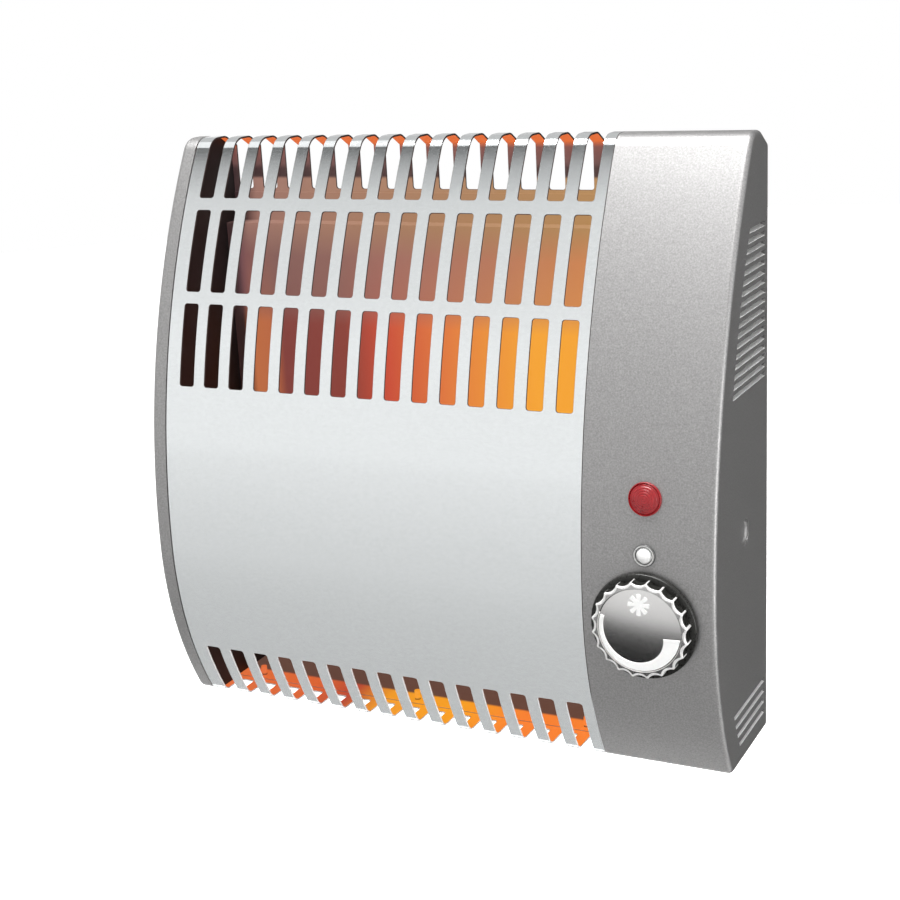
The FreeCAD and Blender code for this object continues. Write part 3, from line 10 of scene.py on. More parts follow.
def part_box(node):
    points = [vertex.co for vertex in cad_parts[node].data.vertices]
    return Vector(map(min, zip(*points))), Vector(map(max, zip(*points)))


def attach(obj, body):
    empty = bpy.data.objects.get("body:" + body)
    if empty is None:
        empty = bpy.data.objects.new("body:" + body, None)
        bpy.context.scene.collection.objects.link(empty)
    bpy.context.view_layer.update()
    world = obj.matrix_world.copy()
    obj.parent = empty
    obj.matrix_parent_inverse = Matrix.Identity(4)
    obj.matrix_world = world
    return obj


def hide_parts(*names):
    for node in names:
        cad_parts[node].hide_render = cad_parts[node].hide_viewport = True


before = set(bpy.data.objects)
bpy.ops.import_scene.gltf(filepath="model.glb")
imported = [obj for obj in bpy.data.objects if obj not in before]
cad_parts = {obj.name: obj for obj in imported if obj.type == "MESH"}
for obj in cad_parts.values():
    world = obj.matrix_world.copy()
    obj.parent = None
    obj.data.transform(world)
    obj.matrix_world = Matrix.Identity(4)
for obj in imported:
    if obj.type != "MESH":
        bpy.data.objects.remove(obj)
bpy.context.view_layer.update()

bl_info = {
    "name": "Frost heater dressing",
    "version": (1, 0, 0),
    "blender": (4, 5, 0),
    "location": "3D View > Sidebar > Heater",
    "description": "Finishes a small wall-hung convector heater on its packed frame",
    "category": "Object",
}

GRILLE_LOW, GRILLE_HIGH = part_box("front_grille")
KNOB_LOW, KNOB_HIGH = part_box("control_knob")
LENS_LOW, LENS_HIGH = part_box("indicator_lens")
STUD_LOW, STUD_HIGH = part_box("index_stud")
LEFT_TRIM = 0.0003
MERGE_REACH = 2e-7

# Looks that several finishes share
BLACK = (0.0, 0.0, 0.0)
WHITE = (1.0, 1.0, 1.0, 1.0)
# Painted shade: the dark brown given to faces inside the chamber, where shade falls
INSIDE_PAINTED_SHADE = (0.09, 0.06, 0.05)
DULL_SPECULAR = 0.1
GRAIN_LOW = 0.3
GRAIN_HIGH = 0.7
GRAIN_LIFT = 0.0002

# Where the painted glow and painted shade change: across the chamber, in height from the casing's middle, in
# depth from the wall
GLOW_ACROSS = (-0.12, 0.072)
FOOT_HEIGHT = (-0.095, -0.085)
DIM_GLOW_HEIGHT = (0.04, 0.10)
TAN_HEIGHT = (0.075, 0.0895)
FLOOR_FRONT = (-0.045, -0.066)
BANDS_HEIGHT = (0.10, 0.13)
BANDS_START = (0.1088, 0.1100)
TOE_HEIGHT = (-0.112, -0.118)
UPPER_HEIGHT = (0.08, 0.09)
CUT_HEIGHT = (-0.104, -0.094)
PANEL_FLOOR = (-0.1280, -0.1277)
PANEL_FACE = (-0.0005, -0.0007)
FLOOR_REAR = (-0.024, -0.026)
FLOOR_BELOW = -0.12
REFLECTOR_FACE = (-0.0101, -0.0104)
REFLECTOR_TOP = (0.0885, 0.0890)
SCREW_INSIDE = (-0.1275, -0.1265)

# Painted light on the louvre sills: faces that look up, below the top, on the side wall and away from its
# plug, turn pale and non-metal
SILL_PAINTED_LIGHT = (0.90, 0.90, 0.89)
SILL_SLOPE = 0.6
SILL_BELOW = 0.095
SILL_BEYOND = 0.1302
PLUG_DROP = 0.03
PLUG_REACH = 0.035
CHEEK_METAL = 0.85

# Divisions of the casing line and of the sheet
SLOPE_POINTS = 30
CREST_POINTS = 40
UPPER_POINTS = 160
LOWER_POINTS = 90
TOE_POINTS = 40
ROW_STEPS = (96, 14, 14, 44)
BAND_STEPS = (4, 90, 5)
MARGIN_STEPS = 3
RING_SHARES = (0.0, 0.25, 1.0)
CELL_MARGIN = 0.0025
SLOT_EDGE = 0.00012
INSIDE_FINISH = 1
CUT_FINISH = 2

# Details of the controls
FLUTE_POINTS = 24
EDGE_POINTS = 6
KNOB_ROOF = 0.002
KNOB_EDGE = 0.0006
RIM_INSET = 0.0011
DISC_STEP = 0.0003
DISC_POINTS = 14
RIDGE_HIGHLIGHT_ANGLE = math.radians(1.5)
SIGN_FOOT = 0.0008
SIGN_SINK = 0.00002
SIGN_RINGS = 4
FLAKE_ARMS = 8
FLAKE_POINTS = 48
FLAKE_ROUND = 0.6
FLAKE_SIDE = 0.52
FLAKE_BASE = 0.1
WEDGE_ANGLE = math.radians(163.0)
WEDGE_LEVEL = 0.9
WEDGE_POINTS = 120
WEDGE_POWER = 2.1
LENS_TURNS = 96
LENS_SINK = 0.0002
LENS_RING = 0.00016
LENS_POINTS = 110
LENS_DOME = 0.92
LENS_FALL = 0.62
STUD_TURNS = 72
STUD_DOME = 0.62
STUD_FOOT = 0.3
STUD_POINTS = 16
# Shares of radius and crown along the lens's rim, and along the ring and groove of the index
LENS_RIM = ((0.74, 0.0), (1.0, 0.0), (1.0, 0.3), (0.985, 0.42), (0.95, 0.44))
STUD_RING = (
    (0.48, 0.0), (1.0, 0.0), (1.0, 0.28), (0.97, 0.38), (0.92, 0.43), (0.85, 0.43), (0.79, 0.38),
    (0.75, 0.22), (0.70, 0.18), (0.66, 0.2),
)

# Stage: the camera, the floor, the lamps and the cards
CAMERA_PLACE = (0.3160, -0.6471, 0.19085)
CAMERA_RIGHT = (0.89034, 0.45196, -0.05500)
CAMERA_BACK = (0.44794, -0.84791, 0.28353)
CAMERA_SHIFT = (0.0207, 0.0228)
FLOOR_RADIUS = 4.0
FLOOR_SIDES = 96
FLOOR_GLOW = 0.9
# Name, middle, point that it faces, width and height of each lamp
KEY_LAMP = ("Key", (-0.1, -0.36, 1.78), (0.0, 0.0, 0.0), 1.4, 0.7)
SIDE_LAMP = ("Strip", (1.05, -0.36, -0.1), (0.12, 0.0, 0.0), 0.3, 0.6)
# Name, middle, width, height and point that it faces of each card, and the axis and stops of its radiance
CARDS = (
    ("side_card", (0.45, 2.0, 0.4), 3.9, 1.7, (0.45, 0.0, 0.4), "X", (
        (-0.9, 0.6), (-0.3, 0.05), (2.4, 0.05),
    )),
    ("rear_card", (0.6, 1.05, -0.45), 3.0, 1.9, (0.6, 1.05, 1.0), "X", ((-0.9, 0.05), (2.1, 0.05))),
    ("over_card", (-0.86, -0.958, 0.858), 1.12, 1.026, (-0.86, -0.02, 0.11), "Z", (
        (0.457, 1.0), (0.68, 0.86), (0.86, 0.8), (0.974, 0.72), (1.006, 0.6), (1.078, 0.4), (1.112, 0.24),
        (1.13, 0.03), (1.259, 0.02),
    )),
    ("cheek_card", (0.05, -0.958, 0.858), 0.64, 1.026, (0.05, -0.02, 0.11), "Z", (
        (0.457, 1.1), (0.68, 2.1), (0.9, 3.0), (1.259, 2.6),
    )),
    ("roof_card", (-0.5, 1.5, 1.75), 4.4, 2.6, (-0.5, 0.0, 0.1), "X", ((-2.7, 0.5), (1.7, 0.5))),
    ("far_card", (0.0, -6.525, -0.45), 14.0, 10.95, (0.0, -6.525, 1.0), "Y", (
        (-12.0, 0.96), (-5.0, 0.92), (-3.1, 0.885), (-2.5, 0.865), (-1.8, 0.83), (-1.05, 0.76),
    )),
    ("near_card", (0.0, -0.55, -0.45), 14.0, 1.0, (0.0, -0.55, 1.0), "Y", (
        (-1.05, 0.76), (-0.73, 0.70), (-0.5, 0.655), (-0.23, 0.61), (-0.05, 0.6),
    )),
)


# Sizes and colours that a user would change
def span(name, description, default):
    """A length, shown in the scene's units."""
    return FloatProperty(name=name, description=description, default=default, unit="LENGTH", precision=5)


def tint(name, description, default):
    """A colour."""
    return FloatVectorProperty(
        name=name, description=description, default=default, subtype="COLOR", size=3, min=0.0, max=1.0,
    )


def share(name, description, default):
    """A strength, never below 0."""
    return FloatProperty(name=name, description=description, default=default, min=0.0, soft_max=10.0)


class HeaterGrilleSizes(bpy.types.PropertyGroup):
    left: span("Left edge", "Left edge of the sheet", GRILLE_LOW.x + LEFT_TRIM)
    right: span("Right edge", "Right edge of the sheet", GRILLE_HIGH.x)
    top: span("Top", "Height of the top bend", GRILLE_HIGH.z)
    bottom: span("Bottom", "Height of the underside", GRILLE_LOW.z)
    depth: span("Depth", "Depth at the belly", -GRILLE_LOW.y)
    belly: span("Belly", "Height of the deepest point above the bottom", 0.079)
    crest: span("Top bend", "Radius of the front top bend", 0.009)
    crest_depth: span("Top bend depth", "Middle of the front top bend from the wall", 0.015)
    slope_run: span("Slope run", "Depth of the rear slope of the top", 0.0087)
    slope_drop: span("Slope drop", "Height of the rear slope of the top", 0.005)
    slope_bend: span("Slope bend", "Radius between the slope and the top", 0.006)
    lower: span("Lower arc", "Radius of the front below the belly", 0.158)
    toe: span("Bottom bend", "Radius of the bottom bend", 0.005)
    sheet: span("Sheet", "Thickness of the sheet", 0.0008)
    flange: span("Rear flange", "Flange below the rear slope", 0.0275)
    returned: span("Return edge", "Depth of the rear edge of the return", 0.026)
    first: span("First slot", "Middle of the first slot", -0.1137)
    pitch: span("Slot pitch", "Distance between slots", 0.013)
    width: span("Slot width", "Width of a slot", 0.0074)
    corner: span("Slot corner", "Radius of a slot corner", 0.0012)
    count: IntProperty(name="Slots", description="Slots in a row", default=15, min=1)
    row_one: span("Top row", "Lower end of the top slots", 0.10435)
    row_two: span("Second row", "Lower end of the second row", 0.06505)
    row_two_length: span("Second row length", "Length of the second row", 0.0342)
    row_three: span("Third row", "Lower end of the third row", 0.02445)
    row_three_length: span("Third row length", "Length of the third row", 0.0355)
    row_four: span("Bottom row", "Upper end of the bottom slots", -0.10105)
    row_four_depth: span("Bottom row depth", "Rear end of the bottom slots", 0.037)


class HeaterControlSizes(bpy.types.PropertyGroup):
    knob_radius: span("Knob radius", "Radius over the ridges", 0.0202)
    skirt_radius: span("Skirt radius", "Radius of the skirt behind the flutes", 0.0221)
    skirt_height: span("Skirt height", "Height of the skirt", 0.0022)
    hollow: span("Hollow", "Radius of the hollow in the knob", 0.017)
    flute_count: IntProperty(name="Flutes", description="Flutes around the knob", default=20, min=3)
    flute_radius: span("Flute radius", "Radius of a flute", 0.0048)
    flute_depth: span("Flute depth", "Depth of a flute", 0.0012)
    disc_radius: span("Disc radius", "Radius of the disc in the face", 0.0172)
    disc_crown: span("Disc crown", "Rise of the disc at its middle", 0.0006)
    wedge_radius: span("Wedge radius", "Outer radius of the white wedge", 0.0168)
    wedge_start: span("Wedge start", "Width of the wedge at its thin end", 0.0014)
    wedge_width: span("Wedge width", "Width of the wedge at its thick end", 0.0068)
    wedge_end: span("Wedge end", "Straight end of the wedge below the axis", 0.0022)
    flake_height: span("Flake height", "Middle of the snowflake above the axis", 0.0109)
    flake_radius: span("Flake radius", "Radius of the snowflake", 0.0045)
    flake_arm: span("Flake arm", "Half the width of an arm at its end", 0.0009)
    lens_radius: span("Lens radius", "Radius of the lamp lens", 0.0068)
    lens_crown: span("Lens crown", "Height of the lamp lens", 0.0025)
    lens_rings: IntProperty(name="Lens rings", description="Rings in the lamp lens", default=6, min=1)
    stud_radius: span("Stud radius", "Radius of the index stud", 0.0046)
    stud_crown: span("Stud crown", "Height of the index stud", 0.0023)


class HeaterColours(bpy.types.PropertyGroup):
    sheet: tint("Sheet", "Satin casing sheet", (0.78, 0.805, 0.81))
    cheek: tint("Cheek", "Silver cheeks", (0.31, 0.306, 0.304))
    zinc: tint("Zinc", "Plain coated sheet", (0.52, 0.53, 0.54))
    knob: tint("Knob", "Bright face of the knob", (0.88, 0.87, 0.86))
    # Painted shade: the flutes of the silver knob are near black
    knob_wall_painted_shade: tint("Knob wall", "Dark flutes of the knob", (0.02, 0.02, 0.018))
    lens: tint("Lens", "Lamp lens", (0.26, 0.0035, 0.007))
    sign: tint("Signs", "Printed signs and the index", (0.92, 0.92, 0.91))
    glow: share("Glow", "Strength of the glow inside", 1.0)


class HeaterStageSizes(bpy.types.PropertyGroup):
    floor: span("Floor", "Height of the floor", -0.46)
    lens: FloatProperty(name="Focal length", description="Camera lens", default=65.83, unit="CAMERA")
    key: share("Key light", "Radiance of the light overhead", 20.0)
    side: share("Side light", "Radiance of the strip on the right", 8.0)
    fill: share("Fill", "Even light from all round", 0.3)


# Mesh helpers
def quads(rows, columns, close=False):
    """Faces of a grid of rows by columns; close joins the last column to the first."""
    i = np.arange(rows - 1)[:, None]
    j = np.arange(columns if close else columns - 1)[None, :]
    after = (j + 1) % columns
    corners = (i * columns + j, (i + 1) * columns + j, (i + 1) * columns + after, i * columns + after)
    return np.stack(np.broadcast_arrays(*corners), -1).reshape(-1, 4)


def new_piece(name, points, faces, body, slot, *materials, sharp=35.0, finishes=None):
    """A smooth mesh with its doubles merged and its edges over the sharp angle kept crisp."""
    mesh = bpy.data.meshes.new(name)
    mesh.from_pydata(points.reshape(-1, 3).tolist(), [], faces.tolist())
    if finishes is not None:
        mesh.polygons.foreach_set("material_index", np.asarray(finishes, np.int32))
    shape = bmesh.new()
    shape.from_mesh(mesh)
    bmesh.ops.remove_doubles(shape, verts=shape.verts, dist=MERGE_REACH)
    shape.to_mesh(mesh)
    shape.free()
    mesh.shade_smooth()
    mesh.set_sharp_from_angle(angle=math.radians(sharp))
    for material in materials:
        mesh.materials.append(material)
    piece = bpy.data.objects.new(name, mesh)
    bpy.context.scene.collection.objects.link(piece)
    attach(piece, body)
    return piece


def turned(profile, turns, place):
    """Points and faces of a profile of (radius, height) turned about Z and moved by a matrix.

    A point at an angle a is (r cos a, r sin a, h).
    """
    angle = np.linspace(0.0, 2.0 * math.pi, turns, endpoint=False)
    radius = profile[:, 0, None]
    points = np.stack(np.broadcast_arrays(
        radius * np.cos(angle), radius * np.sin(angle), profile[:, 1, None],
    ), -1)
    return moved(points, place), quads(len(profile), turns, close=True)[:, ::-1]


def moved(points, place):
    """Points of any array shape carried by a 4 x 4 matrix."""
    matrix = np.array(place)
    return points @ matrix[:3, :3].T + matrix[:3, 3]


def pairs(first, second):
    """Points of two coordinates, each an array or one number for all."""
    return np.stack(np.broadcast_arrays(first, second), -1)


def facing(x, depth, height, tilt=0.0):
    """A place on the front: local Z out of it and tilted up, local X to the right and local Y up."""
    return Matrix.Translation((x, -depth, height)) @ Matrix.Rotation(math.pi / 2 - tilt, 4, "X")


# Material helpers
def add(tree, kind, inputs=(), **settings):
    """A shader node with its settings and inputs; an input that is a socket is linked."""
    item = tree.nodes.new("ShaderNode" + kind)
    for key, value in settings.items():
        setattr(item, key, value)
    for key, value in dict(inputs).items():
        if isinstance(value, bpy.types.NodeSocket):
            tree.links.new(value, item.inputs[key])
        else:
            item.inputs[key].default_value = value
    return item


def finish(name, colour, metallic, roughness):
    """A new material, its node tree and its shader, with the plain values set on the shader itself."""
    material = bpy.data.materials.new(name)
    material.use_nodes = True
    tree = material.node_tree
    shader = tree.nodes["Principled BSDF"]
    shader.inputs["Base Color"].default_value = (*colour, 1.0)
    shader.inputs["Metallic"].default_value = metallic
    shader.inputs["Roughness"].default_value = roughness
    return material, tree, shader


def place_of(tree, scale=(1.0, 1.0, 1.0)):
    """Object coordinates, stretched per axis."""
    coordinates = add(tree, "TexCoord")
    return add(tree, "Mapping", {"Vector": coordinates.outputs["Object"], "Scale": scale}).outputs["Vector"]


def axes_of(tree):
    """The X, Y and Z of the object coordinates, each a socket."""
    return add(tree, "SeparateXYZ", {0: place_of(tree)}).outputs


def fed_colour(shader):
    """The socket that feeds the shader's base colour."""
    return shader.inputs["Base Color"].links[0].from_socket


def seen_directly(tree):
    """1 for camera, transmission and glossy rays, 0 for others."""
    path = add(tree, "LightPath").outputs
    seen = maths(tree, "MAXIMUM", path["Is Camera Ray"], path["Is Transmission Ray"])
    return maths(tree, "MAXIMUM", seen, path["Is Glossy Ray"])


def ramp(tree, factor, stops):
    """A colour ramp through (place, colour) stops."""
    item = add(tree, "ValToRGB", {"Fac": factor})
    elements = item.color_ramp.elements
    while len(elements) < len(stops):
        elements.new(0.5)
    for element, (place, colour) in zip(elements, stops):
        element.position = place
        element.color = (*colour, 1.0)
    return item.outputs["Color"]


def between(tree, value, low, high, to_low=0.0, to_high=1.0):
    """A value mapped from one range to another and held at its ends."""
    return add(tree, "MapRange", {
        "Value": value, "From Min": low, "From Max": high, "To Min": to_low, "To Max": to_high,
    }).outputs["Result"]


def maths(tree, operation, first, second=0.0):
    """The result of one step of arithmetic on values or sockets."""
    return add(tree, "Math", {0: first, 1: second}, operation=operation).outputs["Value"]


def blended(tree, factor, first, second):
    """Two colours mixed by a factor."""
    item = add(tree, "Mix", data_type="RGBA")
    for index, value in ((0, factor), (6, first), (7, second)):
        if isinstance(value, bpy.types.NodeSocket):
            tree.links.new(value, item.inputs[index])
        else:
            item.inputs[index].default_value = value if index == 0 else (*value, 1.0)
    return item.outputs[2]


def grained(
    name, colour, metallic, roughness, scale, contrast, bump=0.0, stretch=(1.0, 1.0, 1.0), spread=0.08,
):
    """A finish whose colour, gloss and surface all follow one noise: its grain, stretched per axis.

    The numbers after the colour are the metallic share, the roughness, and the grain's scale and contrast.
    """
    material, tree, shader = finish(name, colour, metallic, roughness)
    grain = add(tree, "TexNoise", {
        "Vector": place_of(tree, stretch), "Scale": scale, "Detail": 6.0, "Roughness": 0.6,
    }).outputs["Fac"]
    dark = tuple(c * (1.0 - contrast) for c in colour)
    light = tuple(min(c * (1.0 + contrast), 1.0) for c in colour)
    toned = ramp(tree, grain, ((GRAIN_LOW, dark), (GRAIN_HIGH, light)))
    tree.links.new(toned, shader.inputs["Base Color"])
    gloss = between(tree, grain, GRAIN_LOW, GRAIN_HIGH, roughness - spread, roughness + spread)
    tree.links.new(gloss, shader.inputs["Roughness"])
    if bump:
        lift = add(tree, "Bump", {"Height": grain, "Strength": bump, "Distance": GRAIN_LIFT})
        tree.links.new(lift.outputs["Normal"], shader.inputs["Normal"])
    return material, tree, shader


def glow_at(tree, colour, shader, strength):
    """Sends a colour to the shader's emission."""
    tree.links.new(colour, shader.inputs["Emission Color"])
    shader.inputs["Emission Strength"].default_value = strength


def dress(node, material):
    """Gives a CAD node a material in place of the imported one."""
    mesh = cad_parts[node].data
    mesh.materials.clear()
    mesh.materials.append(material)


# Painted glow and painted shade inside the chamber
def painted_glow_colours(tree, x):
    """The painted glow at element height: dark at the left, then brown, maroon, red, orange and yellow."""
    return ramp(tree, between(tree, x, *GLOW_ACROSS), (
        (0.025, (0.012, 0.004, 0.005)), (0.05, (0.48, 0.14, 0.05)), (0.10, (0.46, 0.13, 0.05)),
        (0.135, (0.20, 0.043, 0.038)), (0.31, (0.23, 0.043, 0.033)), (0.42, (0.56, 0.07, 0.035)),
        (0.56, (0.70, 0.17, 0.045)), (0.80, (0.88, 0.36, 0.03)),
    ))


def tan_colours(tree, x):
    """The painted tan glow above the reflector, more orange to the right."""
    return ramp(tree, between(tree, x, *GLOW_ACROSS), (
        (0.02, (0.02, 0.008, 0.012)), (0.06, (0.29, 0.15, 0.12)), (0.95, (0.40, 0.22, 0.08)),
    ))


def wall_colours(tree, place):
    """The painted glow on the rear of the chamber: brown at its foot, brightest at element height, dimmer
    above, then tan.
    """
    height = place["Z"]
    dim_glow = ramp(tree, between(tree, place["X"], *GLOW_ACROSS), (
        (0.010, (0.012, 0.005, 0.008)), (0.035, (0.14, 0.06, 0.075)), (0.12, (0.19, 0.10, 0.09)),
        (0.50, (0.29, 0.145, 0.115)), (0.72, (0.38, 0.15, 0.10)), (1.0, (0.56, 0.20, 0.07)),
    ))
    high = ramp(tree, between(tree, height, *DIM_GLOW_HEIGHT), (
        (0.06, BLACK), (0.27, (0.75, 0.75, 0.75)), (0.9, (1.0, 1.0, 1.0)),
    ))
    wall = blended(tree, high, painted_glow_colours(tree, place["X"]), dim_glow)
    wall = blended(tree, between(tree, height, *TAN_HEIGHT), wall, tan_colours(tree, place["X"]))
    return blended(tree, between(tree, height, *FOOT_HEIGHT), (0.105, 0.052, 0.038), wall)


def floor_colours(tree, place):
    """The painted glow on the chamber's floor across its width, which turns red towards the front."""
    warm = ramp(tree, between(tree, place["X"], *GLOW_ACROSS), (
        (0.0, (0.72, 0.15, 0.04)), (0.22, (0.68, 0.12, 0.03)), (0.33, (0.45, 0.06, 0.03)),
        (0.43, (0.84, 0.32, 0.02)), (0.62, (0.90, 0.34, 0.015)), (0.78, (0.90, 0.21, 0.03)),
    ))
    return blended(tree, between(tree, place["Y"], *FLOOR_FRONT), warm, (0.70, 0.06, 0.02))


def inside_colours(tree, place):
    """The painted glow inside the sheet: bands by height at the top, painted shade behind the front, warm on
    the floor.
    """
    height = place["Z"]
    bands = ramp(tree, between(tree, height, *BANDS_HEIGHT), (
        (0.34, (0.015, 0.006, 0.01)), (0.45, (0.02, 0.008, 0.012)), (0.52, (0.11, 0.05, 0.05)),
        (0.74, (0.18, 0.06, 0.05)), (0.83, (0.72, 0.14, 0.03)),
    ))
    bands = blended(tree, between(tree, height, *BANDS_START), tan_colours(tree, place["X"]), bands)
    toe = between(tree, height, *TOE_HEIGHT)
    lower = blended(tree, toe, (0.03, 0.012, 0.01), floor_colours(tree, place))
    return blended(tree, between(tree, height, *UPPER_HEIGHT), lower, bands)


# Front grille
def upper_radius(sizes):
    """The radius of the front above the belly, which touches the top bend and stands upright at the belly.

    With a the height and b the depth from the belly's line to the middle of the top bend, of radius c, it
    is (a a + b b - c c) / (2 (b - c)).
    """
    arm = sizes.top - sizes.crest - sizes.bottom - sizes.belly
    reach = sizes.depth - sizes.crest_depth
    return (reach**2 + arm**2 - sizes.crest**2) / (2 * (reach - sizes.crest))


def casing_line(sizes):
    """Distance along the sheet, depth and height of the casing's outer line, seen from its side.

    A straight rear flange, the rear slope, its bend, the flat top, the front top bend, the upper arc of
    the front, its lower arc, the bottom bend and the straight underside follow one another. From the
    slope on, each is tangent to the next. Points on an arc are its centre plus (r cos a, r sin a).
    """
    crest_z = sizes.top - sizes.crest
    belly_z = sizes.bottom + sizes.belly
    upper = upper_radius(sizes)
    crest_end = math.atan2(crest_z - belly_z, sizes.crest_depth - sizes.depth + upper)
    slope = math.hypot(sizes.slope_run, sizes.slope_drop)
    slope_b = sizes.slope_run + sizes.slope_bend * (slope - sizes.slope_run) / sizes.slope_drop
    slope_end = math.atan2(sizes.slope_run, -sizes.slope_drop)
    slope_z = sizes.top - sizes.slope_drop
    toe_z = sizes.bottom + sizes.toe
    reach = sizes.lower - sizes.toe
    toe_b = sizes.depth - sizes.lower + math.sqrt(reach**2 - (belly_z - toe_z) ** 2)
    toe_start = math.atan2(toe_z - belly_z, toe_b - sizes.depth + sizes.lower)

    def bend(b, z, radius, start, end, count):
        """An arc from one angle to another, in depth and height."""
        angle = np.linspace(start, end, count)
        return pairs(b + radius * np.cos(angle), z + radius * np.sin(angle))

    slope_middle = sizes.top - sizes.slope_bend
    line = np.concatenate((
        np.array([[0.0, slope_z - sizes.flange], [0.0, slope_z]]),
        bend(slope_b, slope_middle, sizes.slope_bend, slope_end, math.pi / 2, SLOPE_POINTS),
        bend(sizes.crest_depth, crest_z, sizes.crest, math.pi / 2, crest_end, CREST_POINTS),
        bend(sizes.depth - upper, belly_z, upper, crest_end, 0.0, UPPER_POINTS)[1:],
        bend(sizes.depth - sizes.lower, belly_z, sizes.lower, 0.0, toe_start, LOWER_POINTS)[1:],
        bend(toe_b, toe_z, sizes.toe, toe_start, -math.pi / 2, TOE_POINTS)[1:],
        np.array([[sizes.returned, sizes.bottom]]),
    ))
    along = np.concatenate(([0.0], np.cumsum(np.hypot(*np.diff(line, axis=0).T))))
    return along, line[:, 0], line[:, 1]


def slot_loops(half, corner, low, high, side, floor, ceiling, long_steps, short_steps=3, bend_steps=5):
    """A slot's outline and the outline of the cell around it, point by point alike, anticlockwise in (x, s).

    The slot is a rectangle with rounded corners. Each straight point of it moves square outwards to the cell,
    and each rounded corner opens out to a corner of the cell.
    """
    mid = bend_steps // 2
    run_s = np.linspace(low + corner, high - corner, long_steps + 2)[1:-1]
    run_x = np.linspace(half - corner, corner - half, short_steps + 2)[1:-1]
    turn = np.linspace(0.0, math.pi / 2, bend_steps)
    up_in = pairs(half - corner + corner * np.cos(turn), high - corner + corner * np.sin(turn))
    up_out = pairs(
        np.concatenate((np.full(mid + 1, side), np.linspace(side, half - corner, mid + 1)[1:])),
        np.concatenate((np.linspace(high - corner, ceiling, mid + 1), np.full(mid, ceiling))),
    )
    low_in = pairs(half - corner + corner * np.sin(turn), low + corner - corner * np.cos(turn))
    low_out = pairs(
        np.concatenate((np.linspace(half - corner, side, mid + 1), np.full(mid, side))),
        np.concatenate((np.full(mid + 1, floor), np.linspace(floor, low + corner, mid + 1)[1:])),
    )
    mirror = np.array([-1.0, 1.0])

    def loop(edge, foot, head, up, down):
        """Right side, upper corners and end, left side, lower corners and end."""
        return np.concatenate((
            pairs(edge, run_s), up, pairs(run_x, head), (up * mirror)[::-1],
            pairs(-edge, run_s[::-1]), (down * mirror)[::-1], pairs(-run_x, foot), down,
        ))

    return loop(half, low, high, up_in, low_in), loop(side, floor, ceiling, up_out, low_out)


def grille_sheet(sizes):
    """Points and faces of the sheet: a flat pattern in (x, s) bent along the casing line.

    Around each slot a ring of points runs from the slot's outline to its cell, at shares 0, 0.25 and 1 of the
    way. Plain bands and margins fill the rest with the same divisions along the shared edges.
    """
    along, line_b, line_z = casing_line(sizes)
    front = slice(int(np.argmax(line_z)), None)

    def at_height(z):
        """The distance along the sheet at which its front has a height."""
        return float(np.interp(-z, -line_z[front], along[front]))

    under = along[-1] - (sizes.row_four_depth - sizes.returned)
    rear = sizes.row_one - line_z[0]
    slots = (
        (rear, at_height(sizes.row_one)),
        (at_height(sizes.row_two + sizes.row_two_length), at_height(sizes.row_two)),
        (at_height(sizes.row_three + sizes.row_three_length), at_height(sizes.row_three)),
        (at_height(sizes.row_four), under),
    )
    middle = [(slots[n][1] + slots[n + 1][0]) / 2 for n in range(2)]
    cells = (
        (slots[0][0] - CELL_MARGIN, middle[0]), (middle[0], middle[1]),
        (middle[1], slots[2][1] + CELL_MARGIN), (slots[3][0] - CELL_MARGIN, slots[3][1] + CELL_MARGIN),
    )
    half = sizes.width / 2
    side = sizes.pitch / 2
    centres = sizes.first + sizes.pitch * np.arange(sizes.count)
    shift = pairs(centres, 0.0)
    shares = np.array(RING_SHARES)[:, None, None]
    flat, faces, edges_s = [], [], []
    total = 0

    def keep(points, pattern):
        """Adds points of the flat pattern and the faces between them."""
        nonlocal total
        flat.append(points.reshape(-1, 2))
        faces.append(pattern + total)
        total += len(flat[-1])

    for (low, high), (floor, ceiling), steps in zip(slots, cells, ROW_STEPS):
        inner, outer = slot_loops(half, sizes.corner, low, high, side, floor, ceiling, steps)
        ring = inner + (outer - inner) * shares
        rings = ring[None] + shift[:, None, None, :]
        pattern = quads(len(shares), len(inner), close=True)[:, ::-1]
        each = np.arange(len(centres))[:, None, None] * (len(shares) * len(inner))
        keep(rings, (pattern[None] + each).reshape(-1, 4))
        edges_s.append(np.unique(np.round(outer[np.isclose(outer[:, 0], side), 1], 9)))
    on_cell = np.unique(np.round(outer[np.isclose(outer[:, 1], ceiling), 0], 9))
    across = np.unique(np.round((centres[:, None] + on_cell[None, :]).ravel(), 7))
    ends = ((0.0, cells[0][0]), (cells[2][1], cells[3][0]), (cells[3][1], along[-1]))
    bands = [np.linspace(start, end, steps) for (start, end), steps in zip(ends, BAND_STEPS)]
    for band in bands:
        grid = np.stack(np.meshgrid(across, band), -1)
        keep(grid, quads(len(band), len(across)))
    full = np.unique(np.round(np.concatenate((*edges_s, *bands)), 8))
    for start, end in ((sizes.left, across[0]), (across[-1], sizes.right)):
        grid = np.stack(np.meshgrid(np.linspace(start, end, MARGIN_STEPS), full), -1)
        keep(grid, quads(len(full), MARGIN_STEPS))
    x, s = np.concatenate(flat).T
    points = np.stack((x, -np.interp(s, along, line_b), np.interp(s, along, line_z)), -1)
    return points, np.concatenate(faces)


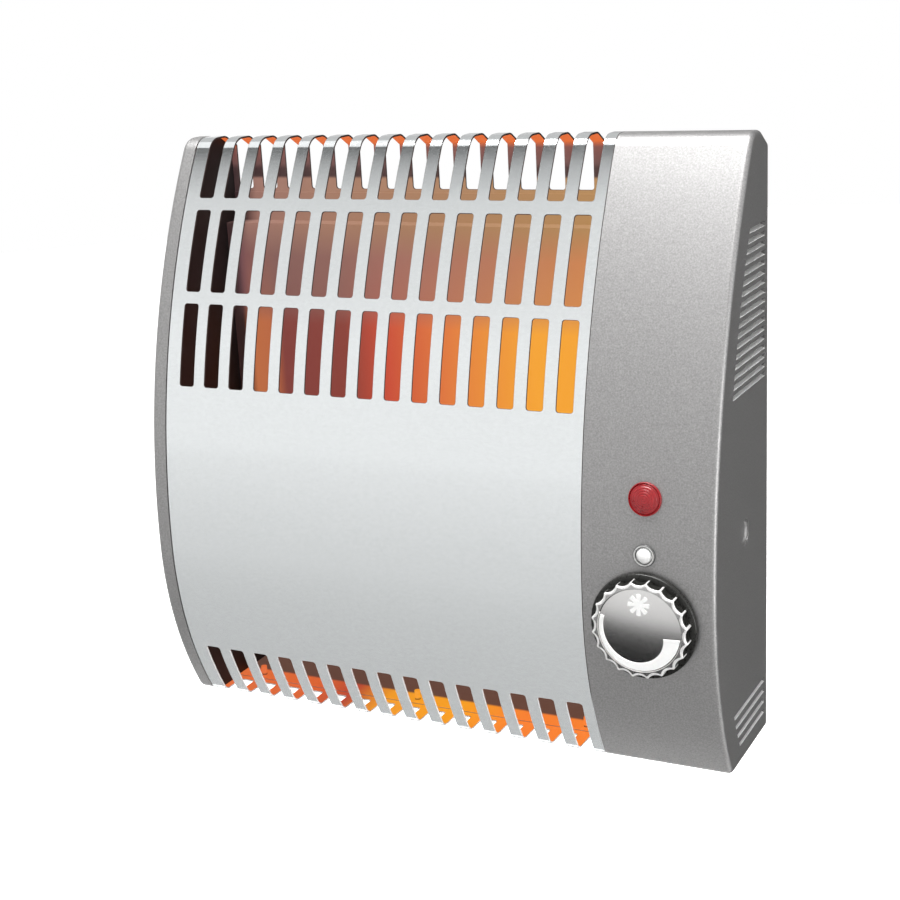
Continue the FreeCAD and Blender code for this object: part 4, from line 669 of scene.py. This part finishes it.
class HEATER_OT_grille(bpy.types.Operator):
    """Bends the slotted front sheet and gives it its satin finish, and an inside in painted shade with a
    painted warm glow
    """

    bl_idname = "heater.grille"
    bl_label = "Front grille"

    def execute(self, context):
        sizes = context.scene.heater_grille
        colours = context.scene.heater_colours
        satin = grained(
            "satin_sheet", colours.sheet, 0.9, 0.11, 900.0, 0.025, bump=0.01,
            stretch=(0.5, 1.0, 1.0), spread=0.015,
        )[0]
        # Painted shade and painted glow: the inside of the sheet is dark brown, with the chamber's glow as
        # emission
        inside, tree, shader = grained("sheet_inside_painted_shade_glow", (0.10, 0.07, 0.06), 0.3, 0.5, 90.0, 0.2)
        glow_at(tree, inside_colours(tree, axes_of(tree)), shader, colours.glow)
        # Painted shade: the cut edges and slot bevels are near black, except in the bottom row, which keeps
        # the sheet's colour
        cut, tree, shader = grained("cut_edge_painted_shade", (0.07, 0.055, 0.053), 0.0, 0.8, 400.0, 0.2)
        shader.inputs["Specular IOR Level"].default_value = DULL_SPECULAR
        upper = between(tree, axes_of(tree)["Z"], *CUT_HEIGHT)
        toned = blended(tree, upper, colours.sheet, fed_colour(shader))
        tree.links.new(toned, shader.inputs["Base Color"])
        points, faces = grille_sheet(sizes)
        piece = new_piece(
            "grille_sheet", points, faces, "casing", "grille_sheet", satin, inside, cut, sharp=60.0,
        )
        wall = piece.modifiers.new("Sheet", "SOLIDIFY")
        wall.thickness = sizes.sheet
        wall.offset = -1.0
        wall.use_even_offset = True
        wall.material_offset = INSIDE_FINISH
        wall.material_offset_rim = CUT_FINISH
        edge = piece.modifiers.new("Slot edges", "BEVEL")
        edge.width = SLOT_EDGE
        edge.segments = 2
        edge.material = CUT_FINISH
        edge.limit_method = "ANGLE"
        edge.angle_limit = math.radians(50)
        edge.harden_normals = True
        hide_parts("front_grille")
        return {"FINISHED"}


class HEATER_OT_cheeks(bpy.types.Operator):
    """Gives the cheeks and their screw plugs a silver metallic grain, with painted light on the louvre sills,
    whose upward faces turn pale
    """

    bl_idname = "heater.cheeks"
    bl_label = "Cheeks"

    def execute(self, context):
        colours = context.scene.heater_colours
        silver, tree, shader = grained(
            "cheek_silver_painted_sill_light", colours.cheek, CHEEK_METAL, 0.46, 1500.0, 0.22, bump=0.12, spread=0.05,
        )
        place = axes_of(tree)
        normal = add(tree, "SeparateXYZ", {0: add(tree, "NewGeometry").outputs["Normal"]}).outputs
        from_plug = maths(tree, "ABSOLUTE", maths(tree, "ADD", place["Z"], PLUG_DROP))
        # Painted light: upward faces of the louvre sills are made pale and non-metal, as if lit from above
        lit_sill_mask = maths(tree, "GREATER_THAN", normal["Z"], SILL_SLOPE)
        for mask in (
            maths(tree, "LESS_THAN", place["Z"], SILL_BELOW),
            maths(tree, "GREATER_THAN", place["X"], SILL_BEYOND),
            maths(tree, "GREATER_THAN", from_plug, PLUG_REACH),
        ):
            lit_sill_mask = maths(tree, "MULTIPLY", lit_sill_mask, mask)
        tree.links.new(blended(tree, lit_sill_mask, fed_colour(shader), SILL_PAINTED_LIGHT), shader.inputs["Base Color"])
        tree.links.new(between(tree, lit_sill_mask, 0.0, 1.0, CHEEK_METAL, 0.0), shader.inputs["Metallic"])
        for node in ("left_end_cap", "control_end_cap", "screw_plugs"):
            dress(node, silver)
        return {"FINISHED"}


# Heating chamber
def back_finish(colours):
    """Plain sheet outside, and inside painted dark shade with a painted glow of the wall and of the floor."""
    material, tree, shader = grained("back_sheet", colours.zinc, 0.5, 0.45, 90.0, 0.16)
    place = axes_of(tree)
    above = between(tree, place["Z"], *PANEL_FLOOR)
    inner = maths(tree, "MULTIPLY", above, between(tree, place["Y"], *PANEL_FACE))
    tree.links.new(blended(tree, inner, fed_colour(shader), INSIDE_PAINTED_SHADE), shader.inputs["Base Color"])
    low = maths(tree, "LESS_THAN", place["Z"], FLOOR_BELOW)
    floor = maths(tree, "MULTIPLY", low, between(tree, place["Y"], *FLOOR_REAR))
    rear = blended(tree, floor, wall_colours(tree, place), floor_colours(tree, place))
    glow_at(tree, blended(tree, inner, BLACK, rear), shader, colours.glow)
    return material


def reflector_finish(colours):
    """Dull sheet in painted dark shade, with a painted glow of the wall on its front and its top edge."""
    material, tree, shader = grained("reflector_sheet", INSIDE_PAINTED_SHADE, 0.0, 0.8, 40.0, 0.1, stretch=(1, 1, 0.2))
    shader.inputs["Specular IOR Level"].default_value = DULL_SPECULAR
    place = axes_of(tree)
    face = between(tree, place["Y"], *REFLECTOR_FACE)
    front = maths(tree, "MAXIMUM", face, between(tree, place["Z"], *REFLECTOR_TOP))
    glow_at(tree, blended(tree, front, BLACK, wall_colours(tree, place)), shader, colours.glow)
    return material


def painted_glow_finish(name, colour, strength, *grain):
    """A grained finish with a painted glow, in the colours at element height."""
    material, tree, shader = grained(name, colour, *grain)
    glow_at(tree, painted_glow_colours(tree, axes_of(tree)["X"]), shader, strength)
    return material


def screw_finish(colours):
    """Dark steel with a painted glow of the floor on what stands inside."""
    material, tree, shader = grained("dark_steel_painted_glow", (0.11, 0.08, 0.07), 0.3, 0.6, 400.0, 0.2)
    place = axes_of(tree)
    inner = between(tree, place["Z"], *SCREW_INSIDE)
    glow_at(tree, blended(tree, inner, BLACK, floor_colours(tree, place)), shader, colours.glow)
    return material


class HEATER_OT_chamber(bpy.types.Operator):
    """Finishes the back panel, bulkheads, reflector, element and fins, with painted glow and painted shade on
    them
    """

    bl_idname = "heater.chamber"
    bl_label = "Heating chamber"

    def execute(self, context):
        colours = context.scene.heater_colours
        black = grained("bulkhead_black", (0.012, 0.008, 0.009), 0.0, 0.6, 220.0, 0.4, bump=0.1)[0]
        zinc = grained("zinc_sheet", colours.zinc, 0.7, 0.42, 90.0, 0.16)[0]
        # Painted glow: the element and its fins glow with emission, though they are no lamp
        sheath = painted_glow_finish("sheath_painted_glow", (0.2, 0.07, 0.03), colours.glow, 0.6, 0.45, 160.0, 0.3)
        fin = painted_glow_finish("fin_painted_glow", (0.42, 0.3, 0.24), colours.glow * 0.5, 0.7, 0.4, 120.0, 0.15)
        ceramic = grained("ceramic_bush", (0.86, 0.83, 0.76), 0.0, 0.6, 300.0, 0.06, bump=0.1)[0]
        dress("left_bulkhead", black)
        dress("right_bulkhead", zinc)
        dress("element_support", zinc)
        dress("back_panel", back_finish(colours))
        dress("reflector", reflector_finish(colours))
        dress("element_tube", sheath)
        dress("element_fins", fin)
        dress("grille_screws", screw_finish(colours))
        dress("element_bushes", ceramic)
        return {"FINISHED"}


class HEATER_OT_fittings(bpy.types.Operator):
    """Finishes the screws, electrical parts, leads and the inlet bush"""

    bl_idname = "heater.fittings"
    bl_label = "Fittings"

    def execute(self, context):
        looks = (
            ("plated_steel", (0.66, 0.65, 0.62), 0.9, 0.3, 400.0, 0.12, (
                "element_terminals", "thermostat_spindle", "thermostat_screws", "cutout_screws",
                "terminal_screws", "cord_clamp_screws", "cap_screws", "earth_screw",
            )),
            ("black_moulding", (0.03, 0.03, 0.033), 0.0, 0.45, 500.0, 0.3, (
                "thermostat_body", "thermal_cutout",
            )),
            ("natural_nylon", (0.8, 0.76, 0.66), 0.0, 0.5, 350.0, 0.06, ("terminal_block", "cord_clamp")),
            ("inlet_rubber", (0.022, 0.022, 0.022), 0.0, 0.65, 600.0, 0.3, ("cable_gland",)),
            ("lamp_glass", (0.75, 0.42, 0.28), 0.0, 0.1, 200.0, 0.1, ("indicator_lamp",)),
            ("brown_insulation", (0.18, 0.07, 0.03), 0.0, 0.4, 300.0, 0.15, ("live_leads",)),
            ("blue_insulation", (0.03, 0.11, 0.4), 0.0, 0.4, 300.0, 0.15, ("neutral_leads",)),
        )
        for name, colour, metallic, roughness, scale, contrast, nodes in looks:
            material = grained(name, colour, metallic, roughness, scale, contrast, bump=0.06)[0]
            for node in nodes:
                dress(node, material)
        earth, tree, shader = finish("earth_insulation", (0.3, 0.5, 0.05), metallic=0.0, roughness=0.4)
        stripe = add(tree, "TexWave", {"Vector": place_of(tree), "Scale": 120.0, "Distortion": 0.4})
        tree.links.new(
            ramp(tree, stripe.outputs["Fac"], ((0.45, (0.08, 0.3, 0.03)), (0.55, (0.75, 0.62, 0.03)))),
            shader.inputs["Base Color"],
        )
        dress("earth_lead", earth)
        return {"FINISHED"}


# Controls
def knob_shell(sizes, place):
    """The knob: rings round its axis, each of one radius or of the fluted outline less an inset, at a height.

    They run from the middle of the hollow, down its side, out to the skirt, up the skirt and the fluted wall,
    over the rim and across the face, a shallow dome whose height falls with the square of the radius. At an
    angle a from the middle of a flute the outline is c cos a - sqrt(f f - c c sin a sin a), where f is the
    flute's radius and c the distance of its middle from the axis, and never more than the knob's own radius.
    """
    height = (KNOB_HIGH - KNOB_LOW).y
    turns = sizes.flute_count * FLUTE_POINTS
    angle = np.linspace(0.0, 2.0 * math.pi, turns, endpoint=False)
    pitch = 2.0 * math.pi / sizes.flute_count
    a = (angle + math.pi / 2 + pitch / 2) % pitch - pitch / 2
    c = sizes.knob_radius + sizes.flute_radius - sizes.flute_depth
    inside = sizes.flute_radius**2 - (c * np.sin(a)) ** 2
    scoop = np.where(inside > 0, c * np.cos(a) - np.sqrt(np.maximum(inside, 0.0)), sizes.knob_radius)
    outline = np.minimum(scoop, sizes.knob_radius)
    bevel = np.linspace(0.0, math.pi / 2, EDGE_POINTS)
    inset = KNOB_EDGE * (1 - np.cos(bevel))
    rise = KNOB_EDGE * np.sin(bevel)
    roof = height - KNOB_ROOF
    disc = np.linspace(sizes.disc_radius, 0.0, DISC_POINTS)
    dome = height - DISC_STEP + sizes.disc_crown * (0.5 - (disc / sizes.disc_radius) ** 2)
    round_parts = (
        ([0.0, sizes.hollow, sizes.hollow, sizes.skirt_radius], [roof, roof, 0.0, 0.0]),
        (sizes.skirt_radius - inset, sizes.skirt_height - KNOB_EDGE + rise),
        (np.concatenate(([sizes.disc_radius + DISC_STEP], disc)), np.concatenate(([height], dome))),
    )
    fluted = (
        np.concatenate(([0.0], inset, [RIM_INSET])),
        np.concatenate(([sizes.skirt_height], height - KNOB_EDGE + rise, [height])),
    )
    plain = [np.repeat(np.asarray(radius, float)[:, None], turns, 1) for radius, level in round_parts]
    rings = np.concatenate((plain[0], plain[1], outline[None, :] - fluted[0][:, None], plain[2]))
    level = np.concatenate((round_parts[0][1], round_parts[1][1], fluted[1], round_parts[2][1]))
    heights = np.repeat(level[:, None], turns, 1)
    points = np.stack((rings * np.cos(angle), rings * np.sin(angle), heights), -1)
    # Finishes: the wall in painted shade, then the rim, whose bright colour also paints a highlight on the
    # ridge tips of the wall, then the face
    rim = len(plain[0]) + len(plain[1]) + 1
    row = np.arange(len(rings) - 1)[:, None]
    starts = np.array([rim, rim + EDGE_POINTS])
    finishes = np.repeat((row >= starts).sum(1, keepdims=True), turns, 1)
    finishes[rim - 1, np.abs(a) > pitch / 2 - RIDGE_HIGHLIGHT_ANGLE] = 1
    return moved(points, place), quads(len(rings), turns, close=True)[:, ::-1], finishes.ravel()


def flat_sign(outline, low, high, place):
    """A thin raised sign: rings of points from its outline's foot up to its top and in to its middle line."""
    foot, middle = outline
    shares = np.linspace(0.0, 1.0, SIGN_RINGS)[:, None, None]
    top = foot + (middle - foot) * shares
    levels = np.concatenate(([low], np.full(len(shares), high)))
    flat = np.concatenate((foot[None], top))
    points = np.concatenate((flat, np.broadcast_to(levels[:, None, None], (*flat.shape[:2], 1))), -1)
    return moved(points, place), quads(len(flat), flat.shape[1], close=True)[:, ::-1]


def snowflake(sizes):
    """Outline and middle of an eight-armed star.

    At an angle t from the nearest arm the radius is the lesser of r (1 - k t t), the arm's rounded end, and
    s w / (sin t - b), its side. Here r is the star's radius, w half the width of an arm at its end, and k, s
    and b are FLAKE_ROUND, FLAKE_SIDE and FLAKE_BASE.
    """
    pitch = 2.0 * math.pi / FLAKE_ARMS
    angle = np.linspace(0.0, 2.0 * math.pi, FLAKE_ARMS * FLAKE_POINTS, endpoint=False)
    t = np.abs((angle + pitch / 2) % pitch - pitch / 2)
    end = sizes.flake_radius * (1.0 - FLAKE_ROUND * t**2)
    arm = sizes.flake_arm * FLAKE_SIDE / np.maximum(np.sin(t) - FLAKE_BASE, 1e-4)
    radius = np.minimum(end, arm)
    foot = pairs(radius * np.cos(angle), radius * np.sin(angle) + sizes.flake_height)
    return foot, pairs(np.zeros_like(angle), sizes.flake_height)


def wedge(sizes):
    """Outline and middle line of the crescent, which grows from half past nine, under the axis, to three.

    Its outer line is an arc. Its width grows with the share of the way to a power, and it ends in a
    straight level line a little below the axis.
    """
    outer = sizes.wedge_radius
    way = np.linspace(0.0, 1.0, WEDGE_POINTS)
    last = math.radians(360.0) - math.asin(sizes.wedge_end / outer)
    angle = WEDGE_ANGLE + way * (last - WEDGE_ANGLE)
    inner = outer - sizes.wedge_start - (sizes.wedge_width - sizes.wedge_start) * way**WEDGE_POWER
    rim = pairs(np.cos(angle) * outer, np.sin(angle) * outer)
    core = pairs(np.cos(angle) * inner, np.sin(angle) * inner)
    core[:, 1] = np.where(way > WEDGE_LEVEL, np.minimum(core[:, 1], -sizes.wedge_end), core[:, 1])
    core[-1, 1] = -sizes.wedge_end
    centre = (rim + core) / 2
    return np.concatenate((rim, core[::-1])), np.concatenate((centre, centre[::-1]))


class HEATER_OT_knob(bpy.types.Operator):
    """Turns the fluted knob with its bright disc, snowflake and wedge, painted shade on its flutes and a
    painted highlight on their ridges
    """

    bl_idname = "heater.knob"
    bl_label = "Knob"

    def execute(self, context):
        sizes = context.scene.heater_controls
        colours = context.scene.heater_colours
        height = (KNOB_HIGH - KNOB_LOW).y
        x = (KNOB_LOW.x + KNOB_HIGH.x) / 2
        z = (KNOB_LOW.z + KNOB_HIGH.z) / 2
        place = facing(x, -KNOB_HIGH.y, z)
        # Painted shade on the fluted wall; the rim's bright colour is also painted as a highlight on the
        # ridge tips
        wall = grained("knob_wall_painted_shade", colours.knob_wall_painted_shade, 0.2, 0.30, 700.0, 0.25, bump=0.05)[0]
        bright = grained("knob_rim_ridge_highlight", colours.knob, 0.3, 0.3, 900.0, 0.05, bump=0.03, spread=0.04)[0]
        face = grained("knob_face", colours.knob, 1.0, 0.18, 900.0, 0.02, spread=0.01)[0]
        points, faces, finishes = knob_shell(sizes, place)
        shell = new_piece(
            "knob_shell", points, faces, "knob", "knob", wall, bright, face, sharp=50.0, finishes=finishes,
        )
        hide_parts("control_knob")
        white = grained("sign_white", colours.sign, 0.0, 0.4, 800.0, 0.02)[0]
        for name, outline in (("knob_snowflake", snowflake(sizes)), ("knob_wedge", wedge(sizes))):
            points, faces = flat_sign(outline, height - SIGN_FOOT, height - SIGN_SINK, place)
            new_piece(name, points, faces, "knob", "knob", white)
        return {"FINISHED"}


def front_place(grille, low, high):
    """A place square to the front at the height of a small piece, on the casing line.

    At a height h above the belly it is tilted up by t, whose sine is h / r, and lies r (1 - cos t) behind
    the belly, where r is the radius of the front there.
    """
    z = (low.z + high.z) / 2
    upper = upper_radius(grille)
    tilt = math.asin((z - grille.bottom - grille.belly) / upper)
    depth = grille.depth - upper * (1 - math.cos(tilt))
    return facing((low.x + high.x) / 2, depth, z, tilt)


def lens_profile(sizes):
    """The lens as (radius, height): a rim, then a dome with rings.

    At a share r of the dome's radius its height is c (1 - f r r), where c is the lens's crown and f the share
    of it that is lost at the edge. The rings add their own height times the size of sin(pi n r), where n is
    their number.
    """
    r = np.linspace(1.0, 0.0, LENS_POINTS)
    dome = sizes.lens_crown * (1.0 - LENS_FALL * r**2)
    rings = LENS_RING * np.abs(np.sin(r * math.pi * sizes.lens_rings))
    crown = pairs(r * sizes.lens_radius * LENS_DOME, dome - LENS_SINK + rings - LENS_RING)
    rim = np.array(LENS_RIM) * (sizes.lens_radius, sizes.lens_crown)
    return np.concatenate((rim, crown))


def stud_profile(sizes):
    """The index as (radius, height): a ring, a groove and a dome, a quarter of an ellipse (cos a, sin a)."""
    ring = np.array(STUD_RING) * (sizes.stud_radius, sizes.stud_crown)
    angle = np.linspace(0.0, math.pi / 2, STUD_POINTS)
    rise = sizes.stud_crown * (STUD_FOOT + (1.0 - STUD_FOOT) * np.sin(angle))
    dome = pairs(sizes.stud_radius * STUD_DOME * np.cos(angle), rise)
    return np.concatenate((ring, dome))


class HEATER_OT_lamp(bpy.types.Operator):
    """Turns the red lamp lens with its rings, and the white index stud in its ring, with painted shade at its
    edge and in its groove
    """

    bl_idname = "heater.lamp"
    bl_label = "Lamp and index"

    def execute(self, context):
        sizes = context.scene.heater_controls
        colours = context.scene.heater_colours
        grille = context.scene.heater_grille
        lens, tree, shader = grained("red_lens", colours.lens, 0.0, 0.3, 500.0, 0.12, spread=0.05)
        shader.inputs["Emission Color"].default_value = (0.45, 0.0, 0.006, 1.0)
        shader.inputs["Emission Strength"].default_value = 0.08
        shader.inputs["Coat Weight"].default_value = 0.15
        place = front_place(grille, LENS_LOW, LENS_HIGH)
        points, faces = turned(lens_profile(sizes), LENS_TURNS, place)
        piece = new_piece("lamp_lens", points, faces, "casing", "red_lens", lens, sharp=60.0)
        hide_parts("indicator_lens")
        white = grained("index_white", colours.sign, 0.0, 0.25, 600.0, 0.03)[0]
        outline = grained("index_painted_shade", (0.10, 0.10, 0.10), 0.3, 0.4, 600.0, 0.1)[0]
        pale = grained("index_ring", (0.55, 0.55, 0.54), 0.3, 0.3, 600.0, 0.05)[0]
        place = front_place(grille, STUD_LOW, STUD_HIGH)
        profile = stud_profile(sizes)
        points, faces = turned(profile, STUD_TURNS, place)
        # Finishes by row: painted shade at the outer edge, the ring, painted shade in the groove, then the
        # white dome
        rows = np.repeat(np.arange(len(profile) - 1), STUD_TURNS)
        finishes = np.select([rows < 4, rows < 6, rows < 8], [1, 2, 1], 0)
        piece = new_piece(
            "index_dome", points, faces, "casing", "white_plastic", white, outline, pale, sharp=70.0,
            finishes=finishes,
        )
        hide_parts("index_stud")
        return {"FINISHED"}


# Stage
def soft_light(name, place, target, width, height, radiance):
    """A rectangular lamp of a given radiance that faces a point.

    Its power is its radiance times pi times its area.
    """
    lamp = bpy.data.lights.new(name, "AREA")
    lamp.shape = "RECTANGLE"
    lamp.size = width
    lamp.size_y = height
    lamp.energy = radiance * math.pi * width * height
    item = bpy.data.objects.new(name, lamp)
    item.location = place
    item.rotation_euler = (Vector(target) - Vector(place)).to_track_quat("-Z", "Y").to_euler()
    bpy.context.scene.collection.objects.link(item)


def card(name, place, width, height, target, axis, stops):
    """A plain grey card that faces a point and shows only in the object's reflections.

    Its radiance follows (place, radiance) stops along an axis of the object's frame.
    """
    towards = (Vector(target) - Vector(place)).to_track_quat("Z", "Y").to_matrix().to_4x4()
    corners = np.array([[-1, -1, 0], [1, -1, 0], [1, 1, 0], [-1, 1, 0]]) * (width / 2, height / 2, 0.0)
    mesh = bpy.data.meshes.new(name)
    mesh.from_pydata(moved(corners, Matrix.Translation(place) @ towards).tolist(), [], [[0, 1, 2, 3]])
    material, tree, shader = finish(name, BLACK, metallic=0.0, roughness=1.0)
    shader.inputs["Specular IOR Level"].default_value = 0.0
    low, high = stops[0][0], stops[-1][0]
    along = between(tree, axes_of(tree)[axis], low, high)
    grey = [((spot - low) / (high - low), (level, level, level)) for spot, level in stops]
    glow_at(tree, ramp(tree, along, grey), shader, 1.0)
    mesh.materials.append(material)
    item = bpy.data.objects.new(name, mesh)
    bpy.context.scene.collection.objects.link(item)
    for ray in ("camera", "diffuse", "shadow", "transmission"):
        setattr(item, "visible_" + ray, False)
    return item


def kept_off(item, piece):
    """Keeps a card's light off one piece, which then shows the card as black."""
    group = bpy.data.collections.new(item.name)
    group.objects.link(piece)
    for member in group.collection_objects:
        member.light_linking.link_state = "EXCLUDE"
    item.light_linking.receiver_collection = group


def set_camera(scene, sizes):
    """The camera, with its axes to the right and to the back given in the object's frame."""
    lens = bpy.data.cameras.new("Camera")
    lens.lens = sizes.lens
    lens.sensor_width = 36.0
    lens.sensor_fit = "HORIZONTAL"
    lens.shift_x, lens.shift_y = CAMERA_SHIFT
    lens.clip_start = 0.01
    right = Vector(CAMERA_RIGHT).normalized()
    back = Vector(CAMERA_BACK).normalized()
    up = back.cross(right).normalized()
    camera = bpy.data.objects.new("Camera", lens)
    turn = Matrix((right, up, back)).transposed().to_4x4()
    camera.matrix_world = Matrix.Translation(CAMERA_PLACE) @ turn
    scene.collection.objects.link(camera)
    scene.camera = camera


def lay_floor(scene, sizes):
    """A round pale floor that looks nearly white to the eye and takes light like plain paint."""
    angle = np.linspace(0.0, 2.0 * math.pi, FLOOR_SIDES, endpoint=False)
    level = np.full_like(angle, sizes.floor)
    rim = np.stack((FLOOR_RADIUS * np.cos(angle), FLOOR_RADIUS * np.sin(angle), level), -1)
    mesh = bpy.data.meshes.new("floor")
    mesh.from_pydata(rim.tolist(), [], [list(range(FLOOR_SIDES))])
    pale, tree, shader = grained("pale_floor", (0.86, 0.86, 0.86), 0.0, 0.8, 6.0, 0.01)
    glow = maths(tree, "MULTIPLY", seen_directly(tree), FLOOR_GLOW)
    shader.inputs["Emission Color"].default_value = WHITE
    tree.links.new(glow, shader.inputs["Emission Strength"])
    mesh.materials.append(pale)
    floor = bpy.data.objects.new("floor", mesh)
    scene.collection.objects.link(floor)


def set_surroundings(scene, sizes):
    """White to the eye and in reflections, and a weak even light on everything else."""
    world = bpy.data.worlds.new("Surroundings")
    world.use_nodes = True
    scene.world = world
    tree = world.node_tree
    level = between(tree, seen_directly(tree), 0.0, 1.0, sizes.fill, 1.0)
    tree.nodes["Background"].inputs["Color"].default_value = WHITE
    tree.links.new(level, tree.nodes["Background"].inputs["Strength"])


class HEATER_OT_stage(bpy.types.Operator):
    """Sets the camera, the pale floor, the lamps and the white surroundings"""

    bl_idname = "heater.stage"
    bl_label = "Stage"

    def execute(self, context):
        scene = context.scene
        sizes = scene.heater_stage
        scene.view_settings.view_transform = "Standard"
        set_camera(scene, sizes)
        lay_floor(scene, sizes)
        set_surroundings(scene, sizes)
        soft_light(*KEY_LAMP, sizes.key)
        soft_light(*SIDE_LAMP, sizes.side)
        cards = {values[0]: card(*values) for values in CARDS}
        if "knob_shell" in scene.objects:
            kept_off(cards["near_card"], scene.objects["knob_shell"])
        return {"FINISHED"}


class HEATER_PT_panel(bpy.types.Panel):
    """Lists the pieces of the heater and their sizes"""

    bl_idname = "HEATER_PT_panel"
    bl_label = "Frost heater"
    bl_space_type = "VIEW_3D"
    bl_region_type = "UI"
    bl_category = "Heater"

    def draw(self, context):
        for operator in OPERATORS:
            self.layout.operator(operator.bl_idname)
        for name in GROUPS:
            group = getattr(context.scene, name)
            column = self.layout.column()
            for key in group.__annotations__:
                column.prop(group, key)


GROUPS = {
    "heater_grille": HeaterGrilleSizes,
    "heater_controls": HeaterControlSizes,
    "heater_colours": HeaterColours,
    "heater_stage": HeaterStageSizes,
}
OPERATORS = (
    HEATER_OT_grille, HEATER_OT_cheeks, HEATER_OT_chamber, HEATER_OT_fittings, HEATER_OT_knob, HEATER_OT_lamp,
    HEATER_OT_stage,
)


def register():
    for group in GROUPS.values():
        bpy.utils.register_class(group)
    for name, group in GROUPS.items():
        setattr(bpy.types.Scene, name, PointerProperty(type=group))
    for item in (*OPERATORS, HEATER_PT_panel):
        bpy.utils.register_class(item)


def unregister():
    for item in (HEATER_PT_panel, *reversed(OPERATORS)):
        bpy.utils.unregister_class(item)
    for name in GROUPS:
        delattr(bpy.types.Scene, name)
    for group in reversed(GROUPS.values()):
        bpy.utils.unregister_class(group)


def main():
    register()
    for operator in OPERATORS:
        group, name = operator.bl_idname.split(".")
        getattr(getattr(bpy.ops, group), name)()


if __name__ == "__main__":
    main()
